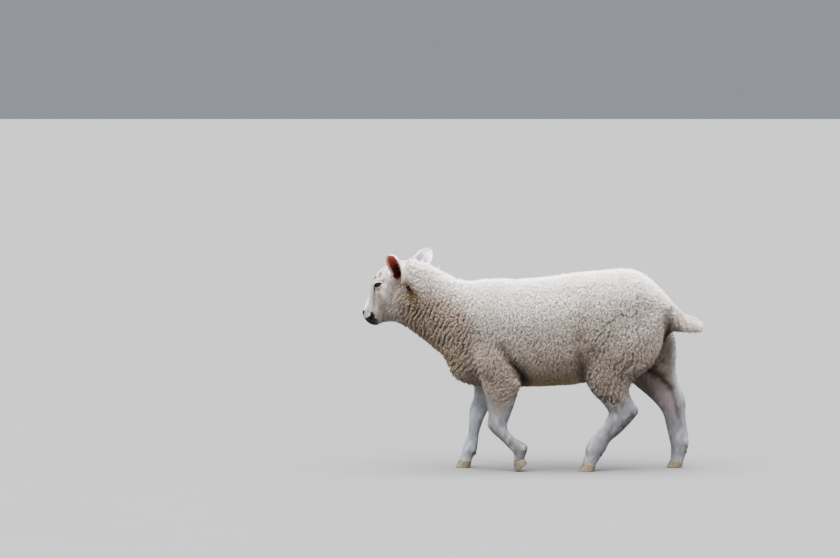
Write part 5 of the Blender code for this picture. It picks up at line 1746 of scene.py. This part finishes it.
# the two small claws behind each fetlock (limb, middle x, z, y of the limb, lean)
DEWCLAWS = (
    ("foreleg_left", -20.3, 53.6, -57.0, 40.0),
    ("foreleg_right", -144.6, 37.0, 54.0, 12.0),
    ("hindleg_left", 168.6, 43.0, -54.0, 14.0),
    ("hindleg_right", 385.6, 42.0, 53.0, 10.0),
)
dewclaws = []
for limb, mid_x, mid_z, mid_y, lean in DEWCLAWS:
    for side_name, way_y in (("lateral", math.copysign(1, mid_y)), ("medial", -math.copysign(1, mid_y))):
        built = bmesh.new()
        bmesh.ops.create_uvsphere(built, u_segments=28, v_segments=20, radius=1.0)
        mesh = bpy.data.meshes.new(f"dewclaw_{limb}_{side_name}")
        built.to_mesh(mesh)
        built.free()
        p = coordinates(mesh)
        p[:, :2] *= (1.0 - 0.22 * np.clip(-p[:, 2], 0, 1))[:, None]
        rings = np.sin(p[:, 2] * 13 + 0.5 * waves(p, 1.3, 67))
        p = p * np.array([3.9, 3.2, 5.4]) * (1 + 0.018 * rings)[:, None]
        c, s = math.cos(math.radians(lean)), math.sin(math.radians(lean))
        p = np.stack([p[:, 0] * c - p[:, 2] * s, p[:, 1], p[:, 0] * s + p[:, 2] * c], 1)
        p += np.array([mid_x, mid_y + way_y * 8.0, mid_z])
        horn = mixed(np.tile(shade(70, 64, 60), (len(p), 1)), shade(44, 39, 36), np.clip(0.4 + 0.4 * rings, 0, 1))
        coloured(mesh, horn)
        set_coordinates(mesh, (p + SHIFT) * MM)
        mesh.polygons.foreach_set("use_smooth", np.ones(len(mesh.polygons), bool))
        thing = bpy.data.objects.new(mesh.name, mesh)
        bpy.context.scene.collection.objects.link(thing)
        dewclaws.append(thing)


# ---------------------------------------------------------------- materials
def material(name, roughness, specular=0.3, sheen=0.0, coat=0.0):
    made = bpy.data.materials.new(name)
    made.use_nodes = True
    tree = made.node_tree
    shader = tree.nodes["Principled BSDF"]
    shader.inputs["Roughness"].default_value = roughness
    shader.inputs["Specular IOR Level"].default_value = specular
    shader.inputs["Sheen Weight"].default_value = sheen
    shader.inputs["Sheen Roughness"].default_value = 0.5
    shader.inputs["Coat Weight"].default_value = coat
    return made, tree, shader


def node(tree, kind, **settings):
    made = tree.nodes.new(kind)
    for key, value in settings.items():
        setattr(made, key, value)
    return made


def speckled(tree, shader, rows, attribute="coat"):
    """The coat's colour, darker and lighter by noises of (scale, detail, least, most)."""
    source = node(tree, "ShaderNodeAttribute", attribute_name=attribute)
    place = node(tree, "ShaderNodeTexCoord")
    colour = source.outputs["Color"]
    for scale, detail, least, most in rows:
        noise = node(tree, "ShaderNodeTexNoise")
        noise.inputs["Scale"].default_value = scale
        noise.inputs["Detail"].default_value = detail
        tree.links.new(place.outputs["Object"], noise.inputs["Vector"])
        spread = node(tree, "ShaderNodeMapRange")
        spread.inputs["From Min"].default_value = 0.3
        spread.inputs["From Max"].default_value = 0.7
        spread.inputs["To Min"].default_value = least
        spread.inputs["To Max"].default_value = most
        tree.links.new(noise.outputs["Fac"], spread.inputs["Value"])
        scaled = node(tree, "ShaderNodeVectorMath", operation="SCALE")
        tree.links.new(colour, scaled.inputs[0])
        tree.links.new(spread.outputs["Result"], scaled.inputs["Scale"])
        colour = scaled.outputs["Vector"]
    tree.links.new(colour, shader.inputs["Base Color"])
    return place


def bumped(tree, shader, vector, rows):
    """Bump from noises of (scale, detail, strength, distance), one over another."""
    last = None
    for scale, detail, strength, distance in rows:
        noise = node(tree, "ShaderNodeTexNoise")
        noise.inputs["Scale"].default_value = scale
        noise.inputs["Detail"].default_value = detail
        tree.links.new(vector, noise.inputs["Vector"])
        bump = node(tree, "ShaderNodeBump")
        bump.inputs["Strength"].default_value = strength
        bump.inputs["Distance"].default_value = distance
        tree.links.new(noise.outputs["Fac"], bump.inputs["Height"])
        if last:
            tree.links.new(last.outputs["Normal"], bump.inputs["Normal"])
        last = bump
    tree.links.new(last.outputs["Normal"], shader.inputs["Normal"])
    return last


def combed(tree, place, amount):
    """Coordinates drawn together along the lie of the coat, so that a noise on them runs in fibres."""
    lie_node = node(tree, "ShaderNodeAttribute", attribute_name="lie")
    dot = node(tree, "ShaderNodeVectorMath", operation="DOT_PRODUCT")
    tree.links.new(place.outputs["Object"], dot.inputs[0])
    tree.links.new(lie_node.outputs["Vector"], dot.inputs[1])
    scaled = node(tree, "ShaderNodeVectorMath", operation="SCALE")
    tree.links.new(lie_node.outputs["Vector"], scaled.inputs[0])
    tree.links.new(dot.outputs["Value"], scaled.inputs["Scale"])
    shrunk = node(tree, "ShaderNodeVectorMath", operation="SCALE")
    shrunk.inputs["Scale"].default_value = amount
    tree.links.new(scaled.outputs["Vector"], shrunk.inputs[0])
    made = node(tree, "ShaderNodeVectorMath", operation="SUBTRACT")
    tree.links.new(place.outputs["Object"], made.inputs[0])
    tree.links.new(shrunk.outputs["Vector"], made.inputs[1])
    return made.outputs["Vector"]


wool, tree, shader = material("wool", 0.95, 0.08, 0.10)
place = speckled(tree, shader, ((700, 3, 0.92, 1.06), (60, 2, 0.96, 1.04)))
last = bumped(tree, shader, combed(tree, place, 0.85), ((2600, 2, 0.55, 0.0005),))
# the crimp of the staple: small waves across each lock
run_node = node(tree, "ShaderNodeAttribute", attribute_name="run")
turn = node(tree, "ShaderNodeMath", operation="MULTIPLY")
turn.inputs[1].default_value = 2 * math.pi / 1.7
tree.links.new(run_node.outputs["Fac"], turn.inputs[0])
wave = node(tree, "ShaderNodeMath", operation="SINE")
tree.links.new(turn.outputs["Value"], wave.inputs[0])
crimp = node(tree, "ShaderNodeBump")
crimp.inputs["Strength"].default_value = 0.22
crimp.inputs["Distance"].default_value = 0.0004
tree.links.new(wave.outputs["Value"], crimp.inputs["Height"])
tree.links.new(last.outputs["Normal"], crimp.inputs["Normal"])
tree.links.new(crimp.outputs["Normal"], shader.inputs["Normal"])

hair, tree, shader = material("short_hair", 0.9, 0.06, 0.0)
place = speckled(tree, shader, ((500, 3, 0.92, 1.05),))
bumped(tree, shader, combed(tree, place, 0.85), ((3000, 2, 0.4, 0.0004),))

hide, tree, shader = material("hide", 0.8, 0.07, 0.0)
place = speckled(tree, shader, ((420, 4, 0.86, 1.10), (45, 2, 0.95, 1.05)))
bumped(tree, shader, combed(tree, place, 0.82), ((1300, 2, 0.6, 0.0009), (380, 3, 0.4, 0.0014)))

glass, tree, shader = material("eye", 0.14, 0.05, 0.0, 0.02)
shader.inputs["Coat Roughness"].default_value = 0.04
place = speckled(tree, shader, ((900, 3, 0.85, 1.1),))
bumped(tree, shader, place.outputs["Object"], ((500, 2, 0.04, 0.0002),))

horn_material, tree, shader = material("horn", 0.5, 0.4, 0.0, 0.0)
place = speckled(tree, shader, ((260, 5, 0.8, 1.12),))
bumped(tree, shader, place.outputs["Object"], ((700, 4, 0.4, 0.0005),))

skin.data.materials.append(hide)
for thing in coat_pieces:
    thing.data.materials.append(wool if thing.name.startswith("wool") else hair)
    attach(thing, "root")
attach(skin, "root")
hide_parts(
    "trunk", "neck", "head", "tail", "ear_left", "ear_right", "foreleg_left", "foreleg_right", "hindleg_left", "hindleg_right"
)
for node_name, thing in eyes.items():
    thing.data.materials.append(glass)
    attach(thing, "root")
    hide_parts(node_name)
for thing in dewclaws:
    thing.data.materials.append(horn_material)
    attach(thing, "root")
for node_name, thing in claws.items():
    thing.data.materials.append(horn_material)
    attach(thing, "root")
    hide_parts(node_name)

# ---------------------------------------------------------------- floor, light and camera
floor_mesh = bpy.data.meshes.new("floor")
floor_mesh.from_pydata([(-40, -40, 0), (40, -40, 0), (40, 60, 0), (-40, 60, 0)], [], [(0, 1, 2, 3)])
floor = bpy.data.objects.new("floor", floor_mesh)
bpy.context.scene.collection.objects.link(floor)
ground, tree, shader = material("floor", 0.9, 0.2)
noise = node(tree, "ShaderNodeTexNoise")
noise.inputs["Scale"].default_value = 3.0
place = node(tree, "ShaderNodeTexCoord")
tree.links.new(place.outputs["Object"], noise.inputs["Vector"])
ramp = node(tree, "ShaderNodeMapRange")
ramp.inputs["To Min"].default_value = 0.098
ramp.inputs["To Max"].default_value = 0.106
tree.links.new(noise.outputs["Fac"], ramp.inputs["Value"])
mix = node(tree, "ShaderNodeCombineColor")
for channel in ("Red", "Green", "Blue"):
    tree.links.new(ramp.outputs["Result"], mix.inputs[channel])
tree.links.new(mix.outputs["Color"], shader.inputs["Base Color"])
floor_mesh.materials.append(ground)

world = bpy.data.worlds.new("studio")
world.use_nodes = True
world.node_tree.nodes["Background"].inputs["Color"].default_value = (0.62, 0.66, 0.72, 1)
world.node_tree.nodes["Background"].inputs["Strength"].default_value = 0.5
bpy.context.scene.world = world


def area_light(name, place, target, size, power, colour):
    data = bpy.data.lights.new(name, "AREA")
    data.shape = "RECTANGLE"
    data.size, data.size_y = size
    data.energy = power
    data.color = colour
    thing = bpy.data.objects.new(name, data)
    thing.location = place
    thing.rotation_euler = (Vector(target) - Vector(place)).to_track_quat("-Z", "Y").to_euler()
    bpy.context.scene.collection.objects.link(thing)


sun_data = bpy.data.lights.new("dome", "SUN")
sun_data.energy, sun_data.angle, sun_data.color = 33.0, math.radians(80), (1.0, 0.998, 0.995)
sun = bpy.data.objects.new("dome", sun_data)
sun.rotation_euler = (math.radians(10), math.radians(-4), 0)
bpy.context.scene.collection.objects.link(sun)
area_light("front", (-1.8, -2.6, 1.9), (-0.1, 0, 0.3), (1.6, 1.6), 12, (1.0, 0.97, 0.94))

camera_data = bpy.data.cameras.new("camera")
camera_data.lens, camera_data.sensor_width = 200.0, 36.0
camera_data.clip_end = 60
camera = bpy.data.objects.new("camera", camera_data)
bpy.context.scene.collection.objects.link(camera)
aim = Vector((-0.2825 + SHIFT[0] * MM, 0.0, 0.4775))
distance = 200.0 / 36.0 * 840 * 0.0025
tilt = math.radians(3)
camera.location = aim + Vector((0, -math.cos(tilt), math.sin(tilt))) * distance
camera.rotation_euler = (math.radians(90) - tilt, 0, 0)
bpy.context.scene.camera = camera

bpy.context.view_layer.update()
